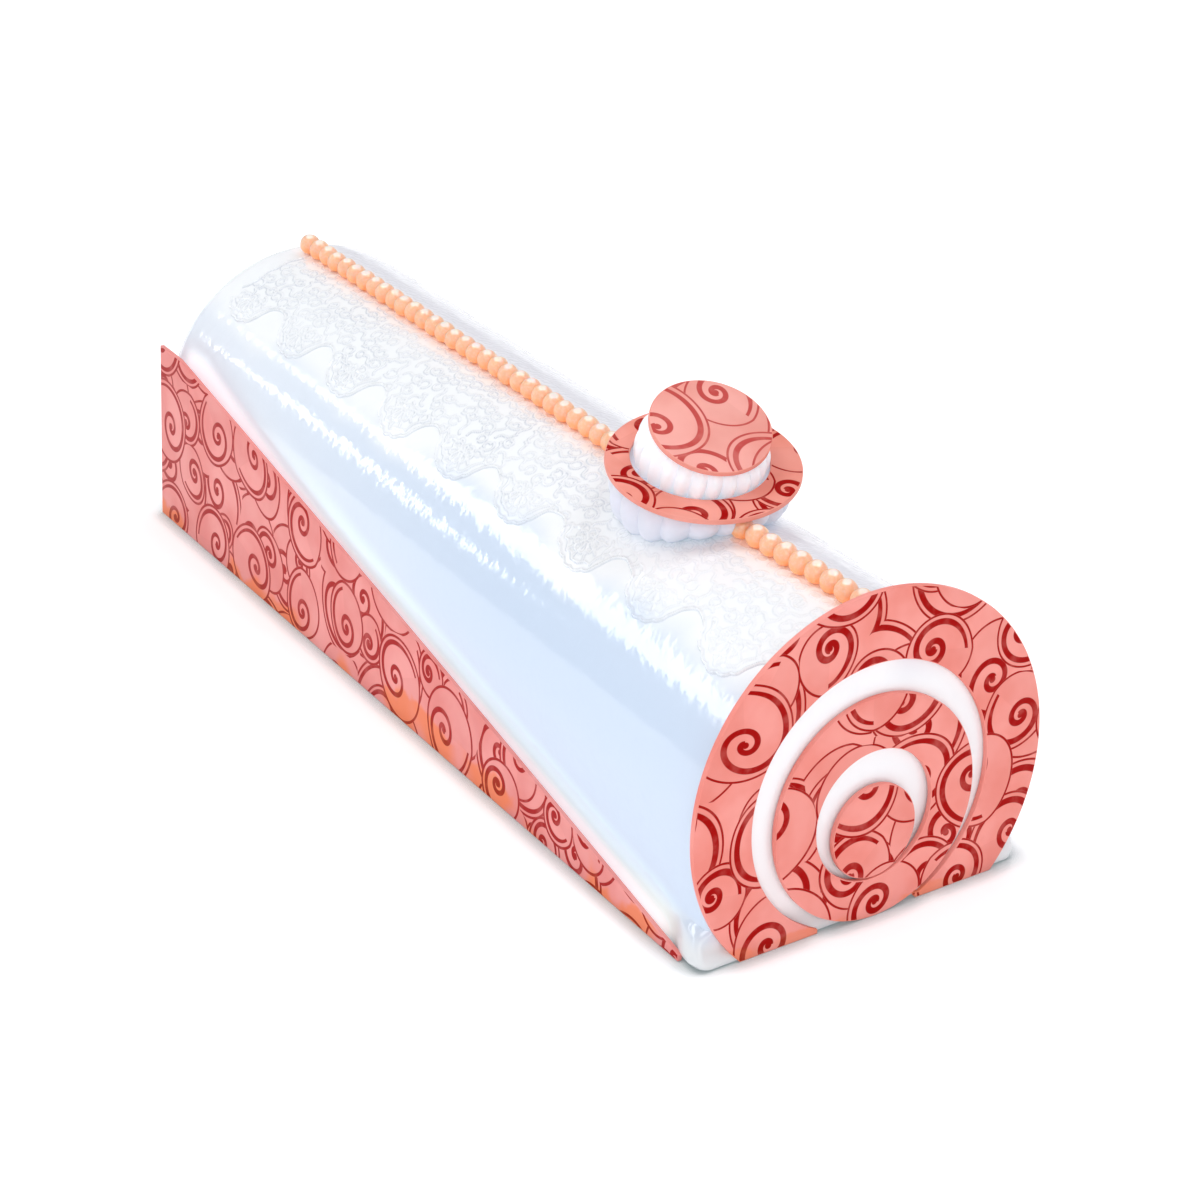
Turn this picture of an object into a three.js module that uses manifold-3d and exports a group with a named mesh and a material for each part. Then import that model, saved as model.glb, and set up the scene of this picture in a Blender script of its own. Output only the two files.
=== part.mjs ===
// Yule log cake: a white glazed log with a fluted cream topper, a string of sugar pearls along its
// ridge, a nested chocolate plaque on its front end and a tapering chocolate strip along each side.
// Millimetres, +Z up. The log lies along X with its plaque at +X, and stands on Z = 0.
// While it is being built, X = 0 is the plaque's front face at the table; the finished cake is
// centred on its own footprint at the end.
import * as THREE from "three";
import { mergeVertices } from "three/addons/utils/BufferGeometryUtils.js";
import Module from "manifold-3d";

const wasm = await Module();
wasm.setup();

// ---- driving dimensions ----

const GAP = 0.3; // clearance kept between pieces that touch

const log = {
  backX: -294, // back end face
  radius: 44, // radius of the arched top
  axisZ: 30.2, // height of the arch's centre, above straight sides
  backRound: 7, // rounding of the back end's edge
  frontRound: 3, // rounding of the front end's edge, behind the plaque
  toe: 1, // rounding of the glaze where it meets the table
  footHeight: 9, // the glaze pools outwards below this height
  footSpread: 2.5, // how far it pools along the sides and the back
  cornerSpread: 4.2, // how far it pools sideways at the two front corners
  cornerReach: 1.7, // how far it laps forwards past the plaque's edge there
  cornerLength: 14, // length of each front corner's pool
};

const plaque = {
  yaw: 2, // degrees that it is turned about the vertical
  lean: -0.8, // degrees that its top leans back
  thickness: 1.5,
  frontX: 0.7, // its front face at the table
  lift: 0.03, // keeps its back lower edge off the table as it leans
  // the ring is cut flat at the table, and its hole breaks through there between two pointed legs
  ring: { radius: 49.6, z: 33.6, hole: 33.7, holeZ: 31.6, leftTip: -14.6, rightTip: 13 },
  legs: { leftToe: 1.2, rightToe: 2.8, rightLift: 1.6 }, // heights at which the hole runs into them
  // the middle disc stands on the table a step in front of the ring and leans back against the log
  middle: { radius: 28.4, y: 0.9, hole: 16.5, holeY: 0.5, holeZ: 26.7, step: 1 },
  inner: { radius: 11.8, y: 0.6, z: 22.4 },
};

const strip = {
  thickness: 1.2,
  footY: 48.5, // outer face at the table, from the log's centre line
  lean: 3.2, // degrees that it leans in against the log
  levelLength: 13, // the top edge runs level for this length, then slopes down
  bow: 0.8, // how far the sloping edge bows up
  backX: -289,
  frontHeight: 1.8,
  left: { frontX: -5.5, height: 52.4 }, // the height is the one at the back end
  right: { frontX: -12, height: 46 },
};

const topper = {
  y: 1.5, // the whole topper stands a little off the ridge
  lowerCream: { x: -76.8, topX: -75, radii: [18.2, 20.2, 21.5, 21.6, 20.6, 19], flutes: 18, depth: 1.7, twist: 10 },
  ring: { x: -74.1, z: 85.65, radius: 23.8, hole: 16.9, holeShift: -1.66, thickness: 1.4, tilt: 11, roll: 2 },
  upperCream: { topX: -73.6, radii: [15.6, 16, 16.1, 15.8, 14.9, 13.2], flutes: 24, depth: 1.2, twist: 14, height: 10 },
  disc: { x: -71.4, z: 96.2, radius: 15, thickness: 1.4, tilt: 25, roll: 2 },
};

const pearl = {
  radius: 2.74,
  backRow: { x: -281.2, pitch: 5.79, count: 32, drift: 0 },
  frontRow: { x: -54.9, pitch: 5.74, count: 9, drift: 1.8 }, // drifts sideways towards the plaque
};

const finishes = {
  glaze: new THREE.MeshStandardMaterial({ color: 0xeef3fb, roughness: 0.12, metalness: 0 }),
  chocolate: new THREE.MeshStandardMaterial({ color: 0xfb998d, roughness: 0.35, metalness: 0 }),
  cream: new THREE.MeshStandardMaterial({ color: 0xf7f3f1, roughness: 0.6, metalness: 0 }),
  pearl: new THREE.MeshStandardMaterial({ color: 0xf7b98b, roughness: 0.3, metalness: 0 }),
};

// ---- helpers ----

const degrees = THREE.MathUtils.degToRad;
const lerp = THREE.MathUtils.lerp;
const smoothstep = THREE.MathUtils.smoothstep;

function middleOf(row) {
  const middle = new THREE.Vector3();
  for (const point of row) middle.addScaledVector(point, 1 / row.length);
  return middle;
}

// A closed surface through rows of points. Every row has the same count of points, and the first
// and last rows are closed by a fan about a middle point.
function closedLoft(rows, firstMiddle = middleOf(rows[0])) {
  const count = rows[0].length;
  const points = rows.flat();
  const index = [];
  for (let row = 0; row + 1 < rows.length; row++)
    for (let i = 0; i < count; i++) {
      const a = row * count + i;
      const b = row * count + ((i + 1) % count);
      index.push(a, b, b + count, a, b + count, a + count);
    }
  const lastRow = (rows.length - 1) * count;
  const lastMiddle = middleOf(rows.at(-1));
  for (const [start, middle, turned] of [[0, firstMiddle, true], [lastRow, lastMiddle, false]]) {
    points.push(middle);
    for (let i = 0; i < count; i++) {
      const a = start + i;
      const b = start + ((i + 1) % count);
      if (turned) index.push(b, a, points.length - 1);
      else index.push(a, b, points.length - 1);
    }
  }
  return new THREE.BufferGeometry().setFromPoints(points).setIndex(index);
}

function toSolid(geometry) {
  const bare = geometry.clone();
  bare.deleteAttribute("normal");
  bare.deleteAttribute("uv");
  const merged = mergeVertices(bare, 1e-4);
  const vertProperties = new Float32Array(merged.attributes.position.array);
  const triVerts = new Uint32Array(merged.index.array);
  return new wasm.Manifold(new wasm.Mesh({ numProp: 3, vertProperties, triVerts }));
}

function toGeometry(solid) {
  const mesh = solid.getMesh();
  return new THREE.BufferGeometry()
    .setAttribute("position", new THREE.BufferAttribute(new Float32Array(mesh.vertProperties), 3))
    .setIndex(new THREE.BufferAttribute(new Uint32Array(mesh.triVerts), 1));
}

function cutBy(geometry, ...cutters) {
  return toGeometry(cutters.reduce((solid, cutter) => solid.subtract(toSolid(cutter)), toSolid(geometry)));
}

function piece(name, geometry, finish) {
  geometry.computeVertexNormals();
  const mesh = new THREE.Mesh(geometry, finish.clone());
  mesh.name = name;
  return mesh;
}

function circlePath(x, y, radius) {
  return new THREE.Path().absarc(x, y, radius, 0, 2 * Math.PI, true);
}

function discShape(x, y, radius) {
  return new THREE.Shape().absarc(x, y, radius, 0, 2 * Math.PI, false);
}

// ---- the glazed log ----

// Half of the arch's outline at a given inset, from the middle of the base to the ridge.
function halfArch(inset, floor) {
  const side = log.radius - inset;
  const wall = [0.35, 1.2, 2.6, 4.5, 6.5, 9, 19].map((z) => [side, z]);
  const base = [[side / 2, 0], [side - log.toe, 0]];
  const crownSteps = 9;
  const crown = [];
  for (let i = 0; i <= crownSteps; i++) {
    const angle = (i / crownSteps) * (Math.PI / 2);
    crown.push([side * Math.cos(angle), log.axisZ + side * Math.sin(angle)]);
  }
  return [...base, ...wall, ...crown].map(([y, z]) => [y, Math.max(z, floor)]);
}

// How far the pooled glaze stands out at a height, as a share of its full spread.
function footShare(z) {
  if (z >= log.footHeight) return 0;
  const rise = 1 - z / log.footHeight;
  const under = Math.min(1, 0.55 + z / 3);
  return rise * rise * under;
}

// Moves one point of the plain rounded log to its place on the real one: the glaze pools at the
// foot, most of all at the front corners, and the front end follows the turned, leaning plaque.
function settleGlaze(x, y, z) {
  const frontX = plaque.frontX - plaque.thickness - GAP;
  const nearFront = smoothstep(x, frontX - log.cornerLength, frontX - log.cornerLength / 3);
  const nearBack = 1 - smoothstep(x, log.backX, log.backX + log.backRound);
  const share = footShare(z);
  const ripple = 0.3 * Math.sin(x / 13) + 0.2 * Math.sin(x / 5.3 + Math.sign(y));
  const spread = lerp(log.footSpread + ripple, log.cornerSpread, nearFront) * share;
  const outsidePlaque = Math.hypot(y, z - plaque.ring.z) - plaque.ring.radius;
  const atCorner = smoothstep(outsidePlaque, 0.5, 3) * smoothstep(x, frontX - 4, frontX);
  const sideways = smoothstep(Math.abs(y), log.radius / 2, log.radius - log.frontRound);
  const along = (x - log.backX) / (frontX - log.backX);
  const turn = -y * Math.tan(degrees(plaque.yaw)) + z * Math.tan(degrees(plaque.lean));
  return new THREE.Vector3(
    x + along * turn - nearBack * log.footSpread * share + atCorner * log.cornerReach * share ** 0.5,
    y + Math.sign(y) * sideways * spread,
    z,
  );
}

function logBody() {
  const frontX = plaque.frontX - plaque.thickness - GAP;
  const stations = [];
  const roundSteps = 5;
  // flat middle of the back end, then its rounded edge
  stations.push([log.backX, log.backRound + 12, 12], [log.backX, log.backRound + 4, 4]);
  for (let i = 0; i <= roundSteps; i++) {
    const angle = (i / roundSteps) * (Math.PI / 2);
    stations.push([
      log.backX + log.backRound * (1 - Math.cos(angle)),
      log.backRound * (1 - Math.sin(angle)),
      0,
    ]);
  }
  const straightEnd = frontX - log.cornerLength;
  const bays = 8;
  for (let i = 1; i <= bays; i++)
    stations.push([lerp(log.backX + log.backRound, straightEnd, i / bays), 0, 0]);
  for (const share of [0.25, 0.5, 0.65]) stations.push([lerp(straightEnd, frontX, share), 0, 0]);
  const frontSteps = 3;
  for (let i = 0; i <= frontSteps; i++) {
    const angle = (i / frontSteps) * (Math.PI / 2);
    stations.push([
      frontX - log.frontRound * (1 - Math.sin(angle)),
      log.frontRound * (1 - Math.cos(angle)),
      0,
    ]);
  }
  stations.push([frontX, log.frontRound + 12, 12]);
  const rows = stations.map(([x, inset, floor]) => {
    const half = halfArch(inset, floor);
    const mirrored = half.slice(0, -1).map(([y, z]) => [-y, z]).reverse();
    return [...half, ...mirrored].map(([y, z]) => settleGlaze(x, y, z));
  });
  return closedLoft(rows);
}

// ---- the plaque on the front end ----

// A flat outline drawn as (across, up), given its thickness backwards from the front face.
function uprightSlab(shape, thickness, front, curveSegments) {
  const slab = new THREE.ExtrudeGeometry(shape, { depth: thickness, bevelEnabled: false, curveSegments });
  const stand = new THREE.Matrix4().makeBasis(
    new THREE.Vector3(0, 1, 0),
    new THREE.Vector3(0, 0, 1),
    new THREE.Vector3(1, 0, 0),
  );
  return slab.applyMatrix4(stand).translate(front - thickness, 0, 0);
}

function plaqueRingShape() {
  const { radius, z, hole, holeZ, leftTip, rightTip } = plaque.ring;
  const { leftToe, rightToe, rightLift } = plaque.legs;
  const outer = Math.asin(z / radius);
  const rightStart = Math.asin((rightToe - holeZ) / hole);
  const leftEnd = Math.PI - Math.asin((leftToe - holeZ) / hole);
  return new THREE.Shape()
    .moveTo(rightTip + 1, 0)
    .absarc(0, z, radius, -outer, Math.PI + outer, false)
    .lineTo(leftTip, 0)
    .absarc(0, holeZ, hole, leftEnd - 2 * Math.PI, rightStart - 2 * Math.PI, true)
    .lineTo(rightTip, rightLift)
    .closePath();
}

function addPlaque(cake) {
  const stand = new THREE.Group();
  stand.rotation.set(0, degrees(plaque.lean), degrees(plaque.yaw), "ZYX");
  stand.position.z = plaque.lift;
  const { middle, inner, thickness, frontX } = plaque;
  const outerRing = uprightSlab(plaqueRingShape(), thickness, frontX, 36);
  stand.add(piece("end_ring", outerRing, finishes.chocolate));

  const leaning = new THREE.Group();
  leaning.position.x = middle.step;
  leaning.rotation.y = -Math.atan(middle.step / (2 * middle.radius));
  const middleShape = discShape(middle.y, middle.radius, middle.radius);
  middleShape.holes.push(circlePath(middle.holeY, middle.holeZ, middle.hole));
  leaning.add(piece("end_disc_middle", uprightSlab(middleShape, thickness, frontX, 32), finishes.chocolate));
  const innerShape = discShape(inner.y, inner.z, inner.radius);
  leaning.add(piece("end_disc_inner", uprightSlab(innerShape, thickness, frontX, 22), finishes.chocolate));
  stand.add(leaning);
  cake.add(stand);
}

// The space that the plaque and its clearance take out of the glaze.
function plaqueClearance() {
  const room = new THREE.CylinderGeometry(plaque.ring.radius + GAP, plaque.ring.radius + GAP, 20, 96);
  room.rotateZ(Math.PI / 2);
  room.translate(10 + plaque.frontX - plaque.thickness - GAP, 0, plaque.ring.z);
  const place = new THREE.Matrix4().makeRotationFromEuler(
    new THREE.Euler(0, degrees(plaque.lean), degrees(plaque.yaw), "ZYX"),
  );
  return room.applyMatrix4(place);
}

// ---- the side strips ----

// One strip along the -Y side. Grown by the gap it is the clearance cut from the glaze.
function stripSlab({ frontX, height }, grow) {
  const slopeX = strip.backX + strip.levelLength;
  const middleX = (slopeX + frontX) / 2;
  const middleZ = (height + strip.frontHeight) / 2 + 2 * strip.bow;
  const shape = new THREE.Shape()
    .moveTo(strip.backX - grow, -grow)
    .lineTo(frontX + grow, -grow)
    .lineTo(frontX + grow, strip.frontHeight + grow)
    .quadraticCurveTo(middleX, middleZ + grow, slopeX, height + grow)
    .lineTo(strip.backX - grow, height + grow)
    .closePath();
  const depth = strip.thickness + 2 * grow;
  const slab = new THREE.ExtrudeGeometry(shape, { depth, bevelEnabled: false, curveSegments: 8 });
  slab.rotateX(Math.PI / 2); // the outline stands up, and the slab runs towards -Y
  slab.translate(0, strip.thickness + grow, 0);
  slab.rotateX(-degrees(strip.lean));
  const heelLift = strip.thickness * Math.sin(degrees(strip.lean));
  return slab.translate(0, -strip.footY, heelLift);
}

function mirrored(geometry) {
  const copy = geometry.clone().scale(1, -1, 1);
  const indexed = copy.index ? copy : mergeVertices(copy, 1e-4);
  const order = indexed.index.array;
  for (let i = 0; i < order.length; i += 3) [order[i + 1], order[i + 2]] = [order[i + 2], order[i + 1]];
  return indexed;
}

// ---- the topper ----

// A plane through (x, y, z) tilted towards +X and rolled towards -Y, as a height over the table.
function tiltedPlane({ x, z, tilt, roll }) {
  const slopeX = Math.tan(degrees(tilt));
  const slopeY = -Math.tan(degrees(roll)) / Math.cos(degrees(tilt));
  return (px, py) => z - slopeX * (px - x) - slopeY * (py - topper.y);
}

const ringPlane = tiltedPlane(topper.ring);
const discPlane = tiltedPlane(topper.disc);

function logSurface(x, y) {
  return log.axisZ + Math.sqrt(log.radius ** 2 - y ** 2);
}

// Piped cream: rounded flutes around a leaning, twisted stack of outlines. Its foot follows one
// surface and its top another. `radii` are the flutes' outer radii from foot to top.
function pipedCream({ footX, topX, radii, flutes, depth, twist, samples, foot, top }) {
  const around = flutes * samples;
  const outline = (share, radius, flutedDepth) => {
    const ring = [];
    for (let i = 0; i < around; i++) {
      const angle = (i / around) * 2 * Math.PI;
      const flute = Math.abs(Math.sin((angle * flutes) / 2)) ** 0.8;
      const reach = radius - flutedDepth * (1 - flute);
      const turned = angle + degrees(twist) * share;
      const x = lerp(footX, topX, share) + reach * Math.cos(turned);
      const y = topper.y + reach * Math.sin(turned);
      ring.push(new THREE.Vector3(x, y, lerp(foot(x, y), top(x, y), share)));
    }
    return ring;
  };
  const rows = [outline(0, radii[0] / 2, 0)];
  radii.forEach((radius, i) => rows.push(outline(i / (radii.length - 1), radius, depth)));
  return closedLoft(rows, new THREE.Vector3(footX, topper.y, foot(footX, topper.y)));
}

function lyingDisc(shape, { x, z, thickness, tilt, roll }, curveSegments) {
  const slab = new THREE.ExtrudeGeometry(shape, { depth: thickness, bevelEnabled: false, curveSegments });
  slab.translate(0, 0, -thickness / 2);
  const place = new THREE.Matrix4().makeRotationFromEuler(
    new THREE.Euler(degrees(roll), degrees(tilt), 0, "XYZ"),
  );
  return slab.applyMatrix4(place).translate(x, topper.y, z);
}

function addTopper(cake, sunkPearl) {
  const { lowerCream, ring, upperCream, disc } = topper;
  const ringHalf = ring.thickness / 2 / Math.cos(degrees(ring.tilt));
  const discHalf = disc.thickness / 2 / Math.cos(degrees(disc.tilt));
  const lower = pipedCream({
    ...lowerCream,
    footX: lowerCream.x,
    samples: 4,
    foot: (x, y) => logSurface(x, y) + GAP,
    top: (x, y) => ringPlane(x, y) - ringHalf - GAP,
  });
  const upper = pipedCream({
    ...upperCream,
    footX: ring.x + ring.holeShift,
    samples: 4,
    foot: (x, y) => ringPlane(x, y) - ringHalf,
    top: (x, y) => Math.min(discPlane(x, y) - discHalf - GAP, ringPlane(x, y) + upperCream.height),
  });
  const ringShape = discShape(0, 0, ring.radius);
  ringShape.holes.push(circlePath(ring.holeShift, 0, ring.hole));
  cake.add(
    piece("cream_lower", cutBy(lower, sunkPearl), finishes.cream),
    piece("topper_ring", lyingDisc(ringShape, ring, 28), finishes.chocolate),
    piece("cream_upper", upper, finishes.cream),
    piece("topper_disc", lyingDisc(discShape(0, 0, disc.radius), disc, 24), finishes.chocolate),
  );
}

// ---- the sugar pearls ----

function pearlCentre(row, i) {
  const share = i / (row.count - 1);
  const ridgeZ = log.axisZ + log.radius;
  return new THREE.Vector3(row.x + i * row.pitch, row.drift * share, ridgeZ + GAP + pearl.radius);
}

function addPearls(cake, rowName, row) {
  for (let i = 0; i < row.count; i++) {
    const bead = new THREE.IcosahedronGeometry(pearl.radius, 1);
    const number = String(i + 1).padStart(2, "0");
    const mesh = piece(`pearl_${rowName}_${number}`, bead, finishes.pearl);
    mesh.position.copy(pearlCentre(row, i));
    cake.add(mesh);
  }
}

// ---- the whole cake ----

const cake = new THREE.Group();

const leftStrip = stripSlab(strip.left, 0);
const rightStrip = mirrored(stripSlab(strip.right, 0));
const glazed = cutBy(
  logBody(),
  plaqueClearance(),
  stripSlab(strip.left, GAP),
  mirrored(stripSlab(strip.right, GAP)),
);
cake.add(piece("log_body", glazed, finishes.glaze));
cake.add(piece("side_strip_left", leftStrip, finishes.chocolate));
cake.add(piece("side_strip_right", rightStrip, finishes.chocolate));
addPlaque(cake);

const sunk = pearlCentre(pearl.frontRow, 0);
const sunkPearl = new THREE.IcosahedronGeometry(pearl.radius + GAP, 2).translate(sunk.x, sunk.y, sunk.z);
addTopper(cake, sunkPearl);
addPearls(cake, "back", pearl.backRow);
addPearls(cake, "front", pearl.frontRow);

const footprint = new THREE.Box3().setFromObject(cake, true);
const centre = footprint.getCenter(new THREE.Vector3());
cake.position.set(-centre.x, -centre.y, -footprint.min.z);

export default cake;
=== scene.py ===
"""Yule log cake: a white glazed log with raised lace, piped cream, printed chocolate and sugar pearls.

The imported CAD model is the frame. Each operator below models one piece, or one group of like pieces,
in that frame, in metres, and puts it on the cake's body in place of its CAD solids.
"""

import math
import random

import bmesh
import bpy
from mathutils import Matrix, Vector, noise
from mathutils.kdtree import KDTree


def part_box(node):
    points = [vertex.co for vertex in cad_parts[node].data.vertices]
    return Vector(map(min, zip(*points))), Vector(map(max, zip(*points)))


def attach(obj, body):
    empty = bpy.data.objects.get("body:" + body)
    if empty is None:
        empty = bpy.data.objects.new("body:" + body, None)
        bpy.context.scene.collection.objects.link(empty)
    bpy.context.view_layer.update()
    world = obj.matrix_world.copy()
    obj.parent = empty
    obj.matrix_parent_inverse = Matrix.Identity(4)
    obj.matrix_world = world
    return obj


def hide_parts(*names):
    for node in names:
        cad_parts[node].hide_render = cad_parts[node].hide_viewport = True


bl_info = {
    "name": "Yule Log Cake",
    "version": (1, 0, 0),
    "blender": (4, 5, 0),
    "location": "View3D > Sidebar > Cake",
    "description": "Models the glaze, lace, chocolate, cream and pearls of a yule log cake",
    "category": "Object",
}

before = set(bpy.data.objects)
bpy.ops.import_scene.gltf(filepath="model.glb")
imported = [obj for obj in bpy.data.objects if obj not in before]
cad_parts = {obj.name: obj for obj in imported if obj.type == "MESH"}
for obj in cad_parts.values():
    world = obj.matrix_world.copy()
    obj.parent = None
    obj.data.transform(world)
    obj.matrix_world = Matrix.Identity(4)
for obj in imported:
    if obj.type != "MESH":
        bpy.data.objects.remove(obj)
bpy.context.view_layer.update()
BODY = "root"
MM = 0.001
NEAR = 0.01 * MM  # what counts as in the same place
STRIP_LOW, STRIP_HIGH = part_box("side_strip_left")
END_FACE_X = STRIP_HIGH.x + 4.5 * MM
PLAQUE_X = STRIP_HIGH.x + 5.5 * MM  # where the plaque's plates stand on the table
BLACK = (0.0, 0.0, 0.0, 1.0)


# ---- sizes and colours that a user may change ----


def length(name, millimetres, description):
    return bpy.props.FloatProperty(
        name=name, description=description, default=millimetres * MM, unit="LENGTH", precision=5
    )


def angle(name, degrees, description):
    return bpy.props.FloatProperty(
        name=name, description=description, default=math.radians(degrees), subtype="ANGLE"
    )


def share(name, part, description):
    return bpy.props.FloatProperty(name=name, description=description, default=part, subtype="FACTOR")


def count(name, number, description):
    return bpy.props.IntProperty(name=name, description=description, default=number, min=1)


def linear(channel):
    """A display channel from 0 to 255, as linear light from 0 to 1."""
    part = channel / 255
    return part / 12.92 if part <= 0.04045 else ((part + 0.055) / 1.055) ** 2.4


def colour(name, red, green, blue, description):
    shade = (linear(red), linear(green), linear(blue))
    return bpy.props.FloatVectorProperty(
        name=name, description=description, default=shade, subtype="COLOR", size=3, min=0, max=1
    )


class LogSizes(bpy.types.PropertyGroup):
    """The glazed log"""

    radius: length("Radius", 44, "Radius of the arched top")
    overhang: length("Overhang", 5, "How far the back end stands out past the side strips")
    setback: length("Setback", 4.5, "From the front tip of the longer strip to the front end face")
    back_round: length("Back rounding", 7, "Rounding of the back end's edge")
    front_round: length("Front rounding", 3, "Rounding of the front end's edge")
    toe: length("Toe", 0.8, "Rounding where the glaze meets the table")
    foot_height: length("Foot height", 9, "The glaze pools outwards below this height")
    foot_spread: length("Foot spread", 2.5, "How far the glaze pools along the sides and back")
    corner_spread: length("Corner spread", 4.2, "How far it pools sideways at the front corners")
    corner_reach: length("Corner reach", 1.7, "How far it laps forwards at the front corners")
    far_corner: share("Far corner", 0.35, "Size of the far corner's pool, as a share of the near one's")
    corner_length: length("Corner length", 14, "Length of each front corner's pool")


class LaceSizes(bpy.types.PropertyGroup):
    """The raised lace under the glaze"""

    cell: length("Grid", 0.33, "Distance between the points of the lace's surface")
    fans: count("Fans", 9, "Fans along each border")
    first_fan: length("First fan", 23, "From the back end to the middle of the first fan")
    pitch: length("Pitch", 31.2, "Distance between the middles of two fans")
    depth: length("Depth", 24, "Arc length from the ridge to the fans' hubs")
    fan_radius: length("Fan radius", 9, "How far a fan reaches past that depth")
    mat: length("Mat", 0.14, "Height of the ground of the lace")
    thread: length("Thread", 0.6, "Height of the border's thread")
    fine_thread: length("Fine thread", 0.26, "Height of the net's thread")


class PlateSizes(bpy.types.PropertyGroup):
    """The thin printed chocolate plates"""

    edge: length("Edge", 0.22, "Rounding of the plates' edges")
    plaque_thickness: length("Plaque thickness", 1.5, "Thickness of the end plaque's plates")
    yaw: angle("Yaw", 2, "Turn of the end plaque about the vertical")
    lean: angle("Lean", 0.8, "How far the plaque's top leans back")
    ring_hole: length("Ring hole", 33.7, "Radius of the hole in the plaque's ring")
    ring_hole_z: length("Ring hole height", 31.6, "Height of that hole's middle")
    middle_hole: length("Middle hole", 16.5, "Radius of the hole in the middle disc")
    middle_hole_z: length("Middle hole height", 26.7, "Height of that hole's middle")
    middle_step: length("Step", 1, "How far the middle disc's foot stands in front of the ring")
    strip_thickness: length("Strip thickness", 1.2, "Thickness of the side strips")
    strip_lean: angle("Strip lean", 3.2, "Lean of the side strips against the log")
    strip_level: length("Level length", 13, "Length of the level part of a strip's top edge")
    strip_bow: length("Bow", 0.8, "How far the sloping edge bows up")
    strip_tip: length("Tip height", 1.8, "Height of a strip at its front end")
    topper_thickness: length("Topper thickness", 1.4, "Thickness of the topper's ring and disc")
    topper_hole: length("Topper hole", 16.9, "Radius of the hole in the topper's ring")
    topper_hole_shift: length("Hole shift", 1.66, "How far that hole lies towards the back")
    ring_tilt: angle("Ring tilt", 11, "Tilt of the topper's ring towards the front")
    disc_tilt: angle("Disc tilt", 25, "Tilt of the topper's disc towards the front")
    roll: angle("Roll", 2, "Sideways tilt of the topper")


class CreamSizes(bpy.types.PropertyGroup):
    """The two piped rosettes"""

    lower_flutes: count("Lower flutes", 18, "Flutes of the lower rosette")
    lower_depth: length("Lower depth", 1.6, "Depth of its flutes")
    lower_twist: angle("Lower twist", 2, "Twist of its flutes from foot to top")
    upper_flutes: count("Upper flutes", 24, "Flutes of the upper rosette")
    upper_depth: length("Upper depth", 1.55, "Depth of its flutes")
    upper_twist: angle("Upper twist", 2.5, "Twist of its flutes from foot to top")
    upper_height: length("Upper height", 10.5, "Most that it rises over the ring")


class PearlSizes(bpy.types.PropertyGroup):
    """The sugar pearls"""

    radius: length("Radius", 2.88, "Radius of one pearl")
    sink: length("Sink", 0.25, "How deep a pearl sits in the glaze")
    unevenness: length("Unevenness", 0.09, "How far a pearl is from round")


class CakeColours(bpy.types.PropertyGroup):
    """The colours of the cake"""

    glaze: colour("Glaze", 249, 252, 254, "White glaze")
    # Painted shade: the bluish colour low on the sides stands in for shade and the blue reflections there.
    glaze_painted_shade: colour("Glaze shade", 207, 222, 241, "Bluish glaze low on the sides")
    # Painted shade: the far shoulder is painted greyer, as if turned away from the light.
    far_painted_shade: colour("Far glaze", 222, 221, 232, "Glaze on the far shoulder, away from the window")
    # Painted shadow: the colour of the shade painted beside the lace's threads.
    thread_shadow: colour("Groove", 196, 202, 213, "Shaded grooves beside the threads of the lace")
    cream: colour("Cream", 253, 248, 251, "Piped cream")
    # Painted shade: the cream under the topper's ring is painted darker.
    cream_painted_shade: colour("Cream shade", 219, 212, 222, "Piped cream under the topper's ring")
    coral: colour("Coral", 244, 144, 132, "Chocolate of the plaque")
    strip_coral: colour("Strip coral", 239, 145, 139, "Chocolate of the side strips")
    topper_coral: colour("Topper coral", 240, 146, 128, "Chocolate of the topper's ring")
    disc_coral: colour("Disc coral", 245, 163, 151, "Chocolate of the topper's disc")
    print_red: colour("Print red", 163, 2, 0, "Print on the plaque and the topper's ring")
    print_muted: colour("Muted print", 169, 30, 30, "Print on the side strips")
    print_faint: colour("Faint print", 198, 78, 74, "Print on the topper's disc")
    caramel: colour("Caramel", 243, 128, 66, "Stain where the plates stand on the table")
    pearl: colour("Pearl", 249, 190, 153, "Sugar pearls")
    floor: colour("Floor", 222, 223, 224, "Floor")


SIZE_GROUPS = {
    "cake_log": LogSizes,
    "cake_lace": LaceSizes,
    "cake_plates": PlateSizes,
    "cake_cream": CreamSizes,
    "cake_pearls": PearlSizes,
    "cake_colours": CakeColours,
}


# ---- modelling helpers ----


def activate(*pieces):
    """Selects these pieces and nothing else, and makes the first one active."""
    bpy.ops.object.select_all(action="DESELECT")
    for piece in pieces:
        piece.select_set(True)
    bpy.context.view_layer.objects.active = pieces[0]


def begin(add, **settings):
    """Adds a primitive with nothing else selected, and puts its place in its mesh."""
    bpy.ops.object.select_all(action="DESELECT")
    add(**settings)
    bpy.ops.object.transform_apply(location=True, rotation=True, scale=True)
    return bpy.context.active_object


def edit(kind):
    """Goes into edit mode, to select vertices, edges or faces."""
    bpy.ops.object.mode_set(mode="EDIT")
    bpy.ops.mesh.select_mode(type=kind)


def leave_edit():
    bpy.ops.object.mode_set(mode="OBJECT")


def pick_all():
    bpy.ops.mesh.select_all(action="SELECT")


def pick(kind, test):
    """In edit mode, selects the vertices, edges or faces that pass the test, and nothing else."""
    bpy.ops.mesh.select_mode(type=kind)
    bpy.ops.mesh.select_all(action="DESELECT")
    data = bpy.context.active_object.data
    mesh = bmesh.from_edit_mesh(data)
    mesh.normal_update()
    elements = {"VERT": mesh.verts, "EDGE": mesh.edges, "FACE": mesh.faces}[kind]
    for element in elements:
        if test(element):
            element.select_set(True)
    bmesh.update_edit_mesh(data)


def pick_rim():
    """In edit mode, selects the edges that have a face on one side only."""
    pick("EDGE", lambda edge: edge.is_boundary)


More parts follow.
